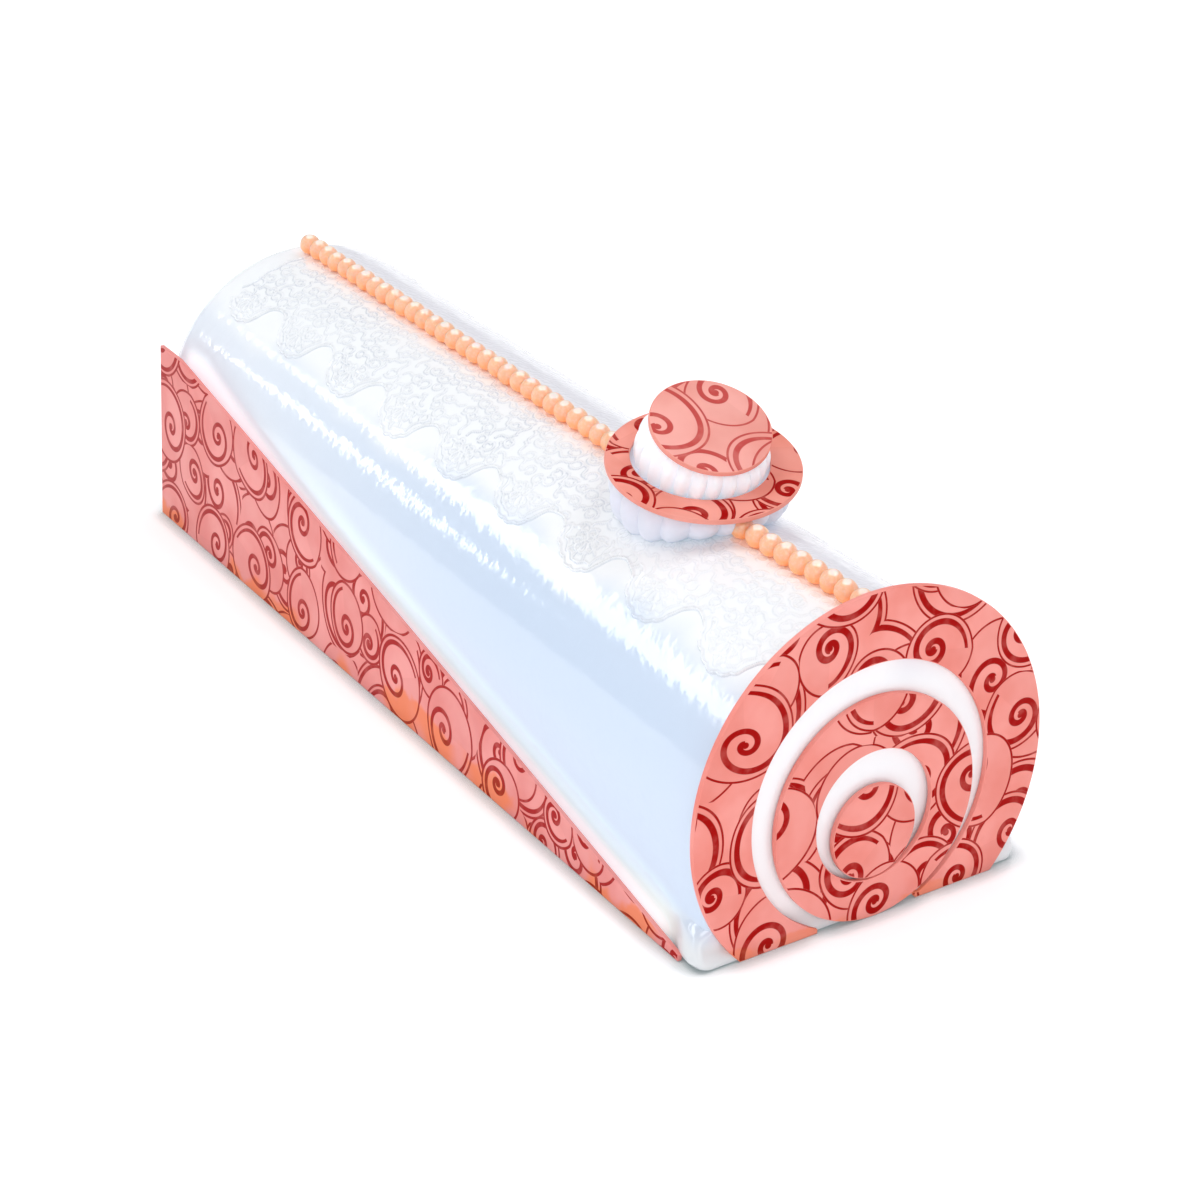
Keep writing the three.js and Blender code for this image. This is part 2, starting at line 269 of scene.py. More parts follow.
def cut_picked(point, normal, clear_above):
    """In edit mode, cuts the selected faces along a plane, and may clear what the normal points at."""
    bpy.ops.mesh.bisect(plane_co=point, plane_no=normal, clear_outer=clear_above, threshold=1e-7)


def cut(point, normal, clear_above=False):
    """The same, for every face."""
    pick_all()
    cut_picked(point, normal, clear_above)


def modify(piece, kind, **settings):
    """Adds a modifier and applies it."""
    modifier = piece.modifiers.new(kind.title(), kind)
    for name, value in settings.items():
        setattr(modifier, name, value)
    bpy.context.view_layer.objects.active = piece
    bpy.ops.object.modifier_apply(modifier=modifier.name)


def reshape(piece, place):
    """Moves every vertex to the place that a function gives for it."""
    for vertex in piece.data.vertices:
        vertex.co = place(vertex.co)
    piece.data.update()


def finish(piece, name, nodes, materials, smooth=35):
    """Names a piece, gives it its materials and stands it in for its CAD nodes."""
    piece.name = name
    piece.data.name = name
    for material in materials:
        piece.data.materials.append(material)
    activate(piece)
    bpy.ops.object.shade_smooth_by_angle(angle=math.radians(smooth))
    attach(piece, BODY)
    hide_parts(*nodes)


def clamp(value):
    return min(1.0, max(0.0, value))


def smoothstep(value, low, high):
    part = clamp((value - low) / (high - low))
    return part * part * (3 - 2 * part)


def mix(a, b, part):
    return a + (b - a) * part


# ---- shader helpers ----


class Graph:
    """Adds nodes to a node tree from left to right, and links them as they are added."""

    def __init__(self, tree):
        self.tree = tree
        self.column = 0

    def add(self, kind, inputs=None, **settings):
        node = self.tree.nodes.new(kind)
        node.location = (self.column * 190, -(self.column % 5) * 130)
        self.column += 1
        for name, value in settings.items():
            setattr(node, name, value)
        for key, value in (inputs or {}).items():
            self.put(value, node.inputs[key])
        return node

    def put(self, value, socket):
        """Links another node's output to a socket, or sets the socket's own value."""
        if isinstance(value, bpy.types.NodeSocket):
            self.tree.links.new(value, socket)
        else:
            socket.default_value = value

    def math(self, operation, *values):
        return self.add("ShaderNodeMath", dict(enumerate(values)), operation=operation).outputs[0]

    def times(self, first, *others):
        """The product of two or more values."""
        product = first
        for other in others:
            product = self.math("MULTIPLY", product, other)
        return product

    def plus(self, a, b):
        return self.math("ADD", a, b)

    def minus(self, a, b):
        return self.math("SUBTRACT", a, b)

    def line(self, value, slope, offset):
        """value * slope + offset"""
        return self.math("MULTIPLY_ADD", value, slope, offset)

    def off(self, value, middle):
        """How far a value lies from a middle, either way."""
        return self.math("ABSOLUTE", self.minus(value, middle))

    def ramp(self, value, low, high, bottom=0.0, top=1.0):
        """A smooth step from bottom to top while the value goes from low to high."""
        inputs = {"Value": value, "From Min": low, "From Max": high, "To Min": bottom, "To Max": top}
        node = self.add("ShaderNodeMapRange", inputs, interpolation_type="SMOOTHSTEP")
        return node.outputs["Result"]

    def vector(self, operation, *values):
        """A vector math node: its vector is output 0 and its number is output 1."""
        return self.add("ShaderNodeVectorMath", dict(enumerate(values)), operation=operation).outputs

    def axes(self, vector):
        return self.add("ShaderNodeSeparateXYZ", {0: vector}).outputs

    def join(self, *values):
        return self.add("ShaderNodeCombineXYZ", dict(enumerate(values))).outputs[0]

    def blend(self, part, a, b):
        """Colour a at a part of 0 and colour b at 1."""
        return self.add("ShaderNodeMix", {0: part, 6: a, 7: b}, data_type="RGBA").outputs[2]

    def noise(self, vector, scale, detail=2.0):
        inputs = {"Vector": vector, "Scale": scale, "Detail": detail}
        return self.add("ShaderNodeTexNoise", inputs).outputs["Fac"]

    def group(self, tree, **inputs):
        """A shared group, with its inputs by name in lower case and its outputs in return."""
        named = {socket_name(key): value for key, value in inputs.items()}
        return self.add("ShaderNodeGroup", named, node_tree=tree).outputs

    def close(self, **outputs):
        """Ends a shared group with its outputs, by name in lower case."""
        self.add("NodeGroupOutput", {socket_name(key): value for key, value in outputs.items()})


def socket_name(key):
    return key.replace("_", " ").capitalize()


def new_group(name, vectors, numbers, outputs):
    """A shader node group with vector inputs, number inputs with their defaults, and number outputs."""
    tree = bpy.data.node_groups.new(name, "ShaderNodeTree")
    for socket in vectors:
        tree.interface.new_socket(socket, in_out="INPUT", socket_type="NodeSocketVector")
    for socket, default in numbers.items():
        made = tree.interface.new_socket(socket, in_out="INPUT", socket_type="NodeSocketFloat")
        made.default_value = default
    for socket in outputs:
        tree.interface.new_socket(socket, in_out="OUTPUT", socket_type="NodeSocketFloat")
    graph = Graph(tree)
    return tree, graph, graph.add("NodeGroupInput").outputs


def new_material(name, constants):
    """A material's graph, and its shader's sockets with the constants set on them."""
    material = bpy.data.materials.new(name)
    material.use_nodes = True
    material.node_tree.nodes.clear()
    graph = Graph(material.node_tree)
    shader = graph.add("ShaderNodeBsdfPrincipled", constants)
    shader.location = (2400, 0)
    output = graph.add("ShaderNodeOutputMaterial", {"Surface": shader.outputs["BSDF"]})
    output.location = (2700, 0)
    graph.column = 0
    return graph, shader.inputs


def opaque(shade, factor=1.0):
    """A colour for a socket, darkened by a factor."""
    return (*(channel * factor for channel in shade), 1.0)


def paler(shade, part):
    """A colour for a socket, moved a part of the way to white."""
    return opaque([mix(channel, 1.0, part) for channel in shade])


def object_place(graph):
    return graph.add("ShaderNodeTexCoord").outputs["Object"]


# ---- effects shared by several materials ----


def scroll_layer_group():
    """One layer of scrolls that never touch, each a coiled stroke in a thin outline.

    The vector and the lengths are in millimetres. Inside is 1 within a scroll, Ink is 1 on its
    lines, and Band is 1 between its outline and the outer turn of its stroke.
    """
    tree, graph, given = new_group(
        "scroll_layer",
        ("Vector", "Shift"),
        {"Cell": 30.0, "Gap": 2.2, "Stroke": 1.2, "Outline": 0.56, "Fill": 0.0},
        ("Inside", "Ink", "Band"),
    )
    cell, gap = given["Cell"], given["Gap"]
    soft = 0.10  # half the width of a line's soft edge
    sweep, tail = 0.35, 0.65  # a wide first sweep, and the coil that it ends in
    sweep_turns, coil_turns, tightening = 0.7, 2.35, 1.5
    lopsided = 0.28  # how far the coil lies from the middle of its scroll
    most_room, filled_room = 0.46, 0.58  # a scroll's radius in cells, left free and filled out
    least_radius = 3.3

    place = graph.vector("DIVIDE", given["Vector"], graph.join(cell, cell, cell))[0]
    place = graph.vector("ADD", place, given["Shift"])[0]
    cells = {"Vector": place, "Scale": 1.0, "Randomness": 0.55}
    nearest = graph.add("ShaderNodeTexVoronoi", cells, voronoi_dimensions="2D").outputs
    room = graph.add("ShaderNodeTexVoronoi", cells, voronoi_dimensions="2D", feature="N_SPHERE_RADIUS")
    chance = graph.add("ShaderNodeSeparateColor", {0: nearest["Color"]}).outputs
    hand = graph.line(graph.math("GREATER_THAN", chance[1], 0.5), 2.0, -1.0)
    # Filled out, a scroll spreads over the whole of its cell.
    spread = graph.math("MINIMUM", room.outputs["Radius"], most_room)
    spread = graph.math("MAXIMUM", spread, graph.times(given["Fill"], filled_room))
    start = graph.times(chance[0], 2 * math.pi)
    shift = graph.times(spread, lopsided)
    shift_x = graph.times(graph.math("COSINE", start), shift)
    shift_y = graph.times(graph.math("SINE", start), hand, shift, -1.0)
    local = graph.vector("SUBTRACT", place, nearest["Position"])[0]
    local = graph.vector("ADD", local, graph.join(shift_x, shift_y))[0]
    east, north, _ = graph.axes(local)
    reach = graph.times(graph.vector("LENGTH", local)["Value"], cell)
    turn = graph.math("DIVIDE", graph.math("ARCTAN2", north, east), 2 * math.pi)
    turned = graph.plus(graph.times(turn, hand), chance[0])
    part = graph.math("FRACT", graph.plus(turned, 4.0))
    radius = graph.times(spread, cell)
    coil = graph.minus(graph.times(radius, 1 + lopsided), gap)

    def inked(distance, half_width):
        return graph.ramp(graph.minus(distance, half_width), -soft, soft, 1.0, 0.0)

    masks, centre_lines = [], []
    for whole in range(2):
        turns = graph.plus(part, float(whole))
        wound = graph.times(graph.math("POWER", graph.line(turns, -1 / coil_turns, 1.0), tightening), tail)
        half = graph.times(given["Stroke"], 0.5)
        if whole == 0:
            left = graph.math("MAXIMUM", graph.line(turns, -1 / sweep_turns, 1.0), 0.0)
            wound = graph.line(graph.times(left, left), sweep, wound)
            half = graph.times(given["Stroke"], graph.ramp(turns, 0.0, 0.20, 0.30, 0.5))
        centre_lines.append(graph.times(wound, coil))
        masks.append(inked(graph.off(reach, centre_lines[-1]), half))
    outer_turn = centre_lines[0]
    # The outline keeps its distance from the stroke, then swings out to close on itself.
    swing = graph.times(graph.minus(coil, outer_turn), graph.ramp(part, 0.40, 1.0))
    edge = graph.plus(graph.plus(outer_turn, swing), gap)
    outline_half = graph.times(given["Outline"], 0.5)
    masks.append(inked(graph.off(reach, graph.minus(edge, outline_half)), outline_half))
    big_enough = graph.math("GREATER_THAN", radius, least_radius)
    within = graph.times(graph.math("LESS_THAN", reach, edge), big_enough)
    ink = inked(reach, graph.line(coil, 0.03, 0.5))  # the blob in the middle of the coil
    for mask in masks:
        ink = graph.math("MAXIMUM", ink, mask)
    band = graph.times(within, graph.math("GREATER_THAN", reach, outer_turn))
    graph.close(inside=within, ink=graph.times(ink, within), band=band)
    return tree


def scroll_print_group(layer):
    """Overlapping layers of scrolls, as on a printed transfer sheet.

    The vector is in metres, and the other lengths are in millimetres.
    """
    settings = {"Seed": 0.0, "Cell": 30.0, "Stroke": 1.2, "Outline": 0.56}
    tree, graph, given = new_group("scroll_print", ("Vector",), settings, ("Ink", "Band"))
    # A slow warp keeps the scrolls from being true circles.
    sway = graph.add("ShaderNodeTexNoise", {"Vector": given["Vector"], "Scale": 30.0, "Detail": 0.0})
    swayed = graph.vector("SUBTRACT", sway.outputs["Color"], (0.5, 0.5, 0.5))[0]
    warp = graph.vector("MULTIPLY_ADD", swayed, (6 * MM, 6 * MM, 0.0), given["Vector"])[0]
    millimetres = graph.add("ShaderNodeVectorMath", {0: warp, "Scale": 1 / MM}, operation="SCALE").outputs[0]
    ink = band = covered = None
    for size, shift, fill in ((1.0, 0.0, 0.0), (0.85, 7.3, 0.0), (0.8, 23.1, 1.0)):
        offset = graph.plus(given["Seed"], shift)
        scrolls = graph.group(
            layer,
            vector=millimetres,
            shift=graph.join(offset, graph.times(offset, 0.63)),
            cell=graph.times(given["Cell"], size),
            fill=fill,
            stroke=given["Stroke"],
            outline=given["Outline"],
        )
        if covered is None:
            ink, band, covered = scrolls["Ink"], scrolls["Band"], scrolls["Inside"]
        else:
            free = graph.minus(1.0, covered)
            ink = graph.line(scrolls["Ink"], free, ink)
            band = graph.line(scrolls["Band"], free, band)
            covered = graph.math("MAXIMUM", covered, scrolls["Inside"])
    graph.close(ink=ink, band=band)
    return tree


def table_stain_group():
    """A wavy stain that fades out above the table: 1 where caramel has run under a plate."""
    tree, graph, given = new_group("table_stain", ("Vector",), {"Height": 6 * MM}, ("Stain",))
    vector = given["Vector"]
    rise = graph.math("DIVIDE", graph.axes(vector)["Z"], given["Height"])
    level = graph.minus(graph.times(graph.noise(vector, 55.0, 3.0), 4.6), 1.25)
    streaked = graph.line(graph.noise(vector, 420.0), 0.5, rise)
    stain = graph.ramp(graph.minus(streaked, level), 0.05, 0.6, 1.0, 0.0)
    patch = graph.ramp(graph.noise(vector, 46.0, 1.0), 0.44, 0.56)
    graph.close(stain=graph.times(stain, patch))
    return tree


def soft_relief_group():
    """Slow waves and a fine grain, for surfaces that were poured, piped or cast."""
    scales = {"Wave scale": 90.0, "Grain scale": 900.0, "Grain": 0.1}
    tree, graph, given = new_group("soft_relief", ("Vector",), scales, ("Height",))
    wave = graph.noise(given["Vector"], given["Wave scale"])
    grain = graph.noise(given["Vector"], given["Grain scale"], 3.0)
    graph.close(height=graph.line(grain, given["Grain"], wave))
    return tree


def texture(graph, shader, groups, place, waves, grains, grain, depth, strength=0.5):
    """Gives a surface the shared relief, at its own scales and depth."""
    relief = graph.group(groups["relief"], vector=place, wave_scale=waves, grain_scale=grains, grain=grain)
    inputs = {"Height": relief["Height"], "Distance": depth, "Strength": strength}
    graph.put(graph.add("ShaderNodeBump", inputs).outputs["Normal"], shader["Normal"])


# ---- materials ----


def glaze_material(name, colours, groups, with_thread_shadows=False):
    """White glaze, with painted shade and painted light set by its place on the log. With thread shadows, it
    paints shadows beside the threads of the lace.
    """
    graph, shader = new_material(name, {"Roughness": 0.06, "IOR": 1.62, "Emission Strength": 1.0})
    place = object_place(graph)
    along, across, height = graph.axes(place)
    from_ridge = graph.math("ABSOLUTE", across)

    # The base colour: painted bluish shade and reflection low on the sides, kept off the front end face, and
    # painted shade in the pooled foot and on the far shoulder.
    wander = graph.times(graph.noise(place, 28.0), 16 * MM)
    low = graph.ramp(graph.plus(height, wander), 74 * MM, 66 * MM)
    low = graph.times(low, graph.ramp(along, STRIP_LOW.x, STRIP_HIGH.x - 80 * MM, 0.4, 1.0))
    shade = graph.blend(low, opaque(colours.glaze), opaque(colours.glaze_painted_shade))
    end_face = graph.ramp(along, END_FACE_X - 4 * MM, END_FACE_X - 2 * MM)
    end_face = graph.times(end_face, graph.ramp(from_ridge, 40 * MM, 36 * MM))
    shade = graph.blend(end_face, shade, opaque(colours.glaze))
    # Painted shade: the glaze is darkened low down in the pooled foot.
    foot = graph.ramp(height, 11 * MM, 4 * MM)
    shade = graph.blend(foot, shade, opaque(colours.glaze, 0.78))
    # Painted shade on the far shoulder of the log.
    painted_far_shade_mask = graph.times(graph.ramp(across, 3 * MM, 12 * MM), graph.ramp(height, 54 * MM, 64 * MM), 0.45)
    shade = graph.blend(painted_far_shade_mask, shade, opaque(colours.far_painted_shade))

    # Painted light: just above the near strip's sloping edge the glaze is painted paler and made to glow, so
    # the gap behind the strip shows no shade.
    slope = (STRIP_HIGH.z - 2 * MM) / (STRIP_HIGH.x - STRIP_LOW.x - 13 * MM)
    fallen = graph.line(graph.minus(STRIP_HIGH.x, along), slope, 2.5 * MM)
    over = graph.minus(height, graph.math("MINIMUM", fallen, STRIP_HIGH.z))
    beside = graph.ramp(across, -30 * MM, -36 * MM)
    for edge, inwards in ((STRIP_LOW.x + 1 * MM, 8 * MM), (STRIP_HIGH.x - 2 * MM, -12 * MM)):
        beside = graph.times(beside, graph.ramp(along, edge, edge + inwards))
    strip_gap_painted_light = graph.times(graph.ramp(over, 1.6 * MM, -2.6 * MM), beside)
    shade = graph.blend(strip_gap_painted_light, shade, (1.0, 0.985, 0.98, 1.0))
    if with_thread_shadows:
        # Painted shadow beside the lace's threads, read from the mesh's own attribute.
        thread_shadow = graph.add("ShaderNodeAttribute", attribute_name="thread_shadow").outputs["Fac"]
        shade = graph.blend(thread_shadow, shade, opaque(colours.thread_shadow))
    graph.put(shade, shader["Base Color"])

    # The painted glow: a faint veil of light over a wider band above the strip, stronger to the front, and a
    # warm painted glow beside the pearls.
    forward = graph.ramp(along, STRIP_LOW.x + 20 * MM, STRIP_LOW.x + 160 * MM)
    painted_veil = graph.times(graph.ramp(over, 9 * MM, 1.5 * MM), beside, forward)
    painted_veil_glow = graph.blend(painted_veil, BLACK, (0.18, 0.27, 0.22, 1.0))
    strip_gap_painted_glow = graph.blend(forward, (0.20, 0.34, 0.40, 1.0), (0.25, 0.41, 0.46, 1.0))
    glow = graph.blend(strip_gap_painted_light, painted_veil_glow, strip_gap_painted_glow)
    # Painted light: a warm glow on the glaze along the ridge, beside the pearls.
    pearl_painted_glow = graph.ramp(from_ridge, 4.6 * MM, 2.4 * MM)
    pearl_painted_glow = graph.times(pearl_painted_glow, graph.ramp(height, STRIP_HIGH.z, 80 * MM))
    graph.put(graph.blend(pearl_painted_glow, glow, (0.07, 0.03, 0.018, 1.0)), shader["Emission Color"])
    texture(graph, shader, groups, place, 240.0, 620.0, 0.14, 0.19 * MM)


def chocolate_material(
    name, shade, colours, groups, ink=None, band=0.12, stain_height=2.4 * MM, soak=0.4, **scrolls
):
    """Chocolate with a caramel stain at the table, printed with scrolls where it is given an ink.

    The band is how much darker the scrolls' bands are, and soak how far the stain covers the colour.
    """
    graph, shader = new_material(name, {"Roughness": 0.4, "IOR": 1.45, "Specular IOR Level": 0.06})
    place = object_place(graph)
    cloud = graph.ramp(graph.noise(place, 60.0, 3.0), 0.3, 0.7)
    body = graph.blend(cloud, opaque(shade, 0.93), paler(shade, 0.10))
    stain = graph.group(groups["stain"], vector=place, height=stain_height)["Stain"]
    if ink is None:
        body = graph.blend(graph.times(stain, 0.5), body, opaque(colours.caramel))
    else:
        flat = graph.add("ShaderNodeUVMap", uv_map="print").outputs["UV"]
        pattern = graph.group(groups["print"], vector=flat, **scrolls)
        body = graph.blend(graph.times(pattern["Band"], band), body, opaque(shade, 0.72))
        body = graph.blend(graph.times(stain, soak), body, opaque(colours.caramel))
        uneven = graph.ramp(graph.noise(place, 240.0, 3.0), 0.25, 0.55, 0.80, 1.0)
        soaked = graph.blend(stain, opaque(ink), (ink[0] * 0.9, ink[1] * 0.8 + 0.01, ink[2] * 0.3, 1.0))
        body = graph.blend(graph.times(pattern["Ink"], uneven), body, soaked)
    graph.put(body, shader["Base Color"])
    texture(graph, shader, groups, place, 70.0, 1100.0, 0.12, 0.1 * MM)


def cream_material(name, cream, groups):
    # Painted light: the cream glows faintly in a cool tint, which offsets the pink light that the coral
    # plates throw on it.
    constants = {
        "Roughness": 0.5,
        "Emission Color": (0.45, 0.85, 1.0, 1.0),
        "Emission Strength": 0.15,
        "Subsurface Weight": 0.35,
        "Subsurface Radius": (1.0, 0.85, 0.75),
        "Subsurface Scale": 1.2 * MM,
        "Coat Weight": 0.15,
        "Coat Roughness": 0.3,
    }
    graph, shader = new_material(name, constants)
    place = object_place(graph)
    cloud = graph.ramp(graph.noise(place, 160.0, 3.0), 0.3, 0.7)
    graph.put(graph.blend(cloud, opaque(cream, 0.965), opaque(cream)), shader["Base Color"])
    texture(graph, shader, groups, place, 420.0, 2200.0, 0.35, 0.2 * MM, strength=0.6)


def pearl_material(colours, groups):
    """Sugar pearls, with a painted highlight on top, and painted warm shade and a painted glow on their
    undersides.
    """
    constants = {
        "Roughness": 0.32,
        "IOR": 1.35,
        "Subsurface Weight": 0.6,
        "Subsurface Radius": (1.0, 0.5, 0.25),
        "Subsurface Scale": 4 * MM,
        "Coat Weight": 0.6,
        "Coat Roughness": 0.12,
        "Coat IOR": 1.7,
        "Emission Strength": 1.0,
    }
    graph, shader = new_material("sugar_pearl", constants)
    place = object_place(graph)
    normal = graph.add("ShaderNodeNewGeometry").outputs["Normal"]
    upward = graph.vector("DOT_PRODUCT", normal, (0.22, -0.10, 0.97))["Value"]
    # Painted shade: the pearls' undersides are painted a warmer orange.
    painted_underside = graph.ramp(upward, 0.52, -0.20)
    speck = graph.ramp(graph.noise(place, 1500.0), 0.45, 0.65, 0.0, 0.25)
    shade = graph.blend(speck, opaque(colours.pearl), paler(colours.pearl, 0.35))
    painted_warm_shade = (colours.pearl[0], colours.pearl[1] * 0.74, colours.pearl[2] * 0.45, 1.0)
    shade = graph.blend(graph.times(painted_underside, 0.7), shade, painted_warm_shade)
    # Painted highlight: the tops are painted paler where they face the lamps overhead.
    painted_highlight = graph.ramp(upward, 0.87, 0.97, 0.0, 0.8)
    graph.put(graph.blend(painted_highlight, shade, (1.0, 0.91, 0.85, 1.0)), shader["Base Color"])
    # Painted glow: the undersides give off a warm light.
    graph.put(graph.blend(painted_underside, BLACK, (0.16, 0.038, 0.0, 1.0)), shader["Emission Color"])
    texture(graph, shader, groups, place, 700.0, 3000.0, 0.3, 0.08 * MM)


def floor_material(colours):
    """A floor that glows evenly like a light table, with a painted contact shadow where something stands on
    it.
    """
    graph, shader = new_material("pale_floor", {"Roughness": 0.75, "Emission Strength": 1.0})
    # Painted contact shadow: close to what stands on the floor, its glow drops and turns cooler, and its
    # colour darkens.
    painted_shadow_ao = graph.add("ShaderNodeAmbientOcclusion", {"Distance": 5 * MM}, samples=2).outputs["AO"]
    glow = graph.blend(graph.ramp(painted_shadow_ao, 0.50, 0.90), (0.08, 0.11, 0.115, 1.0), (0.42, 0.42, 0.42, 1.0))
    graph.put(glow, shader["Emission Color"])
    base = graph.blend(graph.ramp(painted_shadow_ao, 0.50, 0.66), opaque(colours.floor, 0.5), opaque(colours.floor))
    graph.put(base, shader["Base Color"])


def make_materials(colours):
    groups = {
        "print": scroll_print_group(scroll_layer_group()),
        "stain": table_stain_group(),
        "relief": soft_relief_group(),
    }
    floor_material(colours)
    glaze_material("white_glaze", colours, groups)
    # The lace's glaze carries the painted shadows beside its threads.
    glaze_material("white_lace", colours, groups, with_thread_shadows=True)
    cream_material("piped_cream", colours.cream, groups)
    # The lower rosette takes the cream's painted shade, for where it lies under the ring.
    cream_material("shaded_cream", colours.cream_painted_shade, groups)
    pearl_material(colours, groups)
    on_plaque = {"ink": colours.print_red, "seed": 3.4, "cell": 29.0, "stroke": 1.65}
    on_strip = {
        "ink": colours.print_muted, "seed": 11.0, "cell": 27.0, "stroke": 1.4, "outline": 0.78,
        "band": 0.14, "stain_height": 4.8 * MM, "soak": 0.7,
    }
    on_ring = {"ink": colours.print_red, "seed": 5.2, "cell": 25.0, "stroke": 1.6}
    on_disc = {"ink": colours.print_faint, "seed": 21.5, "cell": 30.0, "stroke": 1.4}
    for name, shade, settings in (
        ("plaque_plain", colours.coral, {}),
        ("plaque_print", colours.coral, on_plaque),
        ("strip_plain", colours.strip_coral, {}),
        ("strip_print", colours.strip_coral, on_strip),
        ("topper_plain", colours.topper_coral, {}),
        ("topper_print", colours.topper_coral, on_ring),
        ("disc_print", colours.disc_coral, on_disc),
    ):
        chocolate_material(name, shade, colours, groups, **settings)


def finishes(*names):
    """These materials, which are all made when the first of them is asked for."""
    if names[0] not in bpy.data.materials:
        make_materials(bpy.context.scene.cake_colours)
    return [bpy.data.materials[name] for name in names]


# ---- the glazed log ----


class LogPlan:
    """Where the log's surface runs, from its CAD node, the strip beside it, the plaque and its sizes."""

    def __init__(self, scene):
        sizes = scene.cake_log
        self.sizes = sizes
        self.radius = sizes.radius
        self.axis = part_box("log_body")[1].z - self.radius
        self.back = STRIP_LOW.x - sizes.overhang
        self.front = STRIP_HIGH.x + sizes.setback
        self.yaw, self.lean = math.tan(scene.cake_plates.yaw), math.tan(scene.cake_plates.lean)
        ring_low, ring_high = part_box("end_ring")
        self.ring_radius = (ring_high.y - ring_low.y) / 2
        self.ring_z = ring_high.z - self.ring_radius

    def at(self, along, arc, height):
        """The point an arc length from the ridge, towards -Y, and a height over the surface."""
        turn = arc / self.radius
        reach = self.radius + height
        return Vector((along, -reach * math.sin(turn), self.axis + reach * math.cos(turn)))

    def surface(self, y):
        """The height of the arched top over the table."""
        return self.axis + math.sqrt(max(0.0, self.radius**2 - y**2))

    def foot_share(self, z, fullness):
        """How far the pooled glaze stands out at a height, as a share of its full spread.

        It flares like a skirt at a fullness of 0, and bulges like a drop at 1.
        """
        rise = z / self.sizes.foot_height
        if rise >= 1:
            return 0.0
        under = min(1.0, 0.55 + z / (3 * MM))
        return mix((1 - rise) ** 2, math.sqrt(1 - rise**2), fullness) * under

    def settle(self, point):
        """Moves a point of the plain rounded log to its place on the one whose glaze has run.

        The front end turns and leans with the plaque, and the foot spreads, most at the front corners.
        """
        x, y, z = point
        sizes = self.sizes
        near_front = smoothstep(x, self.front - sizes.corner_length, self.front - sizes.corner_length / 3)
        near_back = 1 - smoothstep(x, self.back, self.back + sizes.back_round)
        pooled = self.foot_share(z, near_front)
        side = math.copysign(1, y)
        ripple = (0.3 * math.sin(x / (13 * MM)) + 0.2 * math.sin(x / (5.3 * MM) + side)) * MM
        corner = 1.0 if y < 0 else sizes.far_corner
        spread = mix(sizes.foot_spread + ripple, sizes.corner_spread * corner, near_front) * pooled
        outside = math.hypot(y, z - self.ring_z) - self.ring_radius
        at_corner = smoothstep(outside, 0.5 * MM, 3 * MM) * smoothstep(x, self.front - 4 * MM, self.front)
        sideways = smoothstep(abs(y), self.radius / 2, self.radius - sizes.front_round)
        along = (x - self.back) / (self.front - self.back)
        turn = -y * self.yaw - z * self.lean
        moved_x = along * turn - near_back * sizes.foot_spread * pooled
        moved_x += at_corner * sizes.corner_reach * corner * math.sqrt(pooled)
        return Vector((x + moved_x, y + side * sideways * spread, z))


def model_log(plan):
    """An arched block with rounded ends and toe, its foot cut finely enough to pool outwards."""
    sizes = plan.sizes
    piece = begin(
        bpy.ops.mesh.primitive_cylinder_add,
        vertices=320,
        radius=plan.radius,
        depth=plan.front - plan.back,
        end_fill_type="NGON",
        location=((plan.front + plan.back) / 2, 0, plan.axis),
        rotation=(0, math.pi / 2, 0),
    )
    edit("EDGE")
    # The upper half of the cylinder is the arch, and its open edge drawn down makes the walls.
    cut((0, 0, plan.axis), (0, 0, -1), clear_above=True)
    pick("EDGE", lambda edge: all(abs(v.co.z - plan.axis) < NEAR for v in edge.verts) and edge.is_boundary)
    bpy.ops.mesh.extrude_edges_move(TRANSFORM_OT_translate={"value": (0, 0, -plan.axis)})
    pick_rim()
    bpy.ops.mesh.edge_face_add()
    ends = ((plan.back, sizes.back_round, 10), (plan.front, sizes.front_round, 6))
    for end, _, _ in ends:
        pick("FACE", lambda face: all(abs(v.co.x - end) < NEAR for v in face.verts))
        bpy.ops.mesh.dissolve_faces()
    for end, offset, segments in ends:
        def on_rim(edge):
            at_end = all(abs(v.co.x - end) < NEAR for v in edge.verts)
            return at_end and any(v.co.z > NEAR for v in edge.verts)
        pick("EDGE", on_rim)
        bpy.ops.mesh.bevel(offset=offset, segments=segments, affect="EDGES", clamp_overlap=True)
    pick("EDGE", lambda edge: all(v.co.z < NEAR for v in edge.verts))
    bpy.ops.mesh.bevel(offset=sizes.toe, segments=3, affect="EDGES")
    foot_levels, bays = 8, 60
    for level in range(1, foot_levels + 1):
        cut((0, 0, sizes.toe + level * (sizes.foot_height - sizes.toe) / foot_levels), (0, 0, 1))
    for bay in range(1, bays):
        cut((mix(plan.back + sizes.back_round, plan.front - sizes.front_round, bay / bays), 0, 0), (1, 0, 0))
    leave_edit()
    reshape(piece, plan.settle)
    return piece


# ---- the raised lace ----


def arc_points(centre, radii, start, end):
    """Points along a stretch of an ellipse, with angles in degrees."""
    steps = max(4, int(abs(math.radians(end - start)) * max(radii) / (0.22 * MM)))
    points = []
    for i in range(steps + 1):
        turn = math.radians(mix(start, end, i / steps))
        points.append((centre[0] + radii[0] * math.cos(turn), centre[1] + radii[1] * math.sin(turn)))
    return points


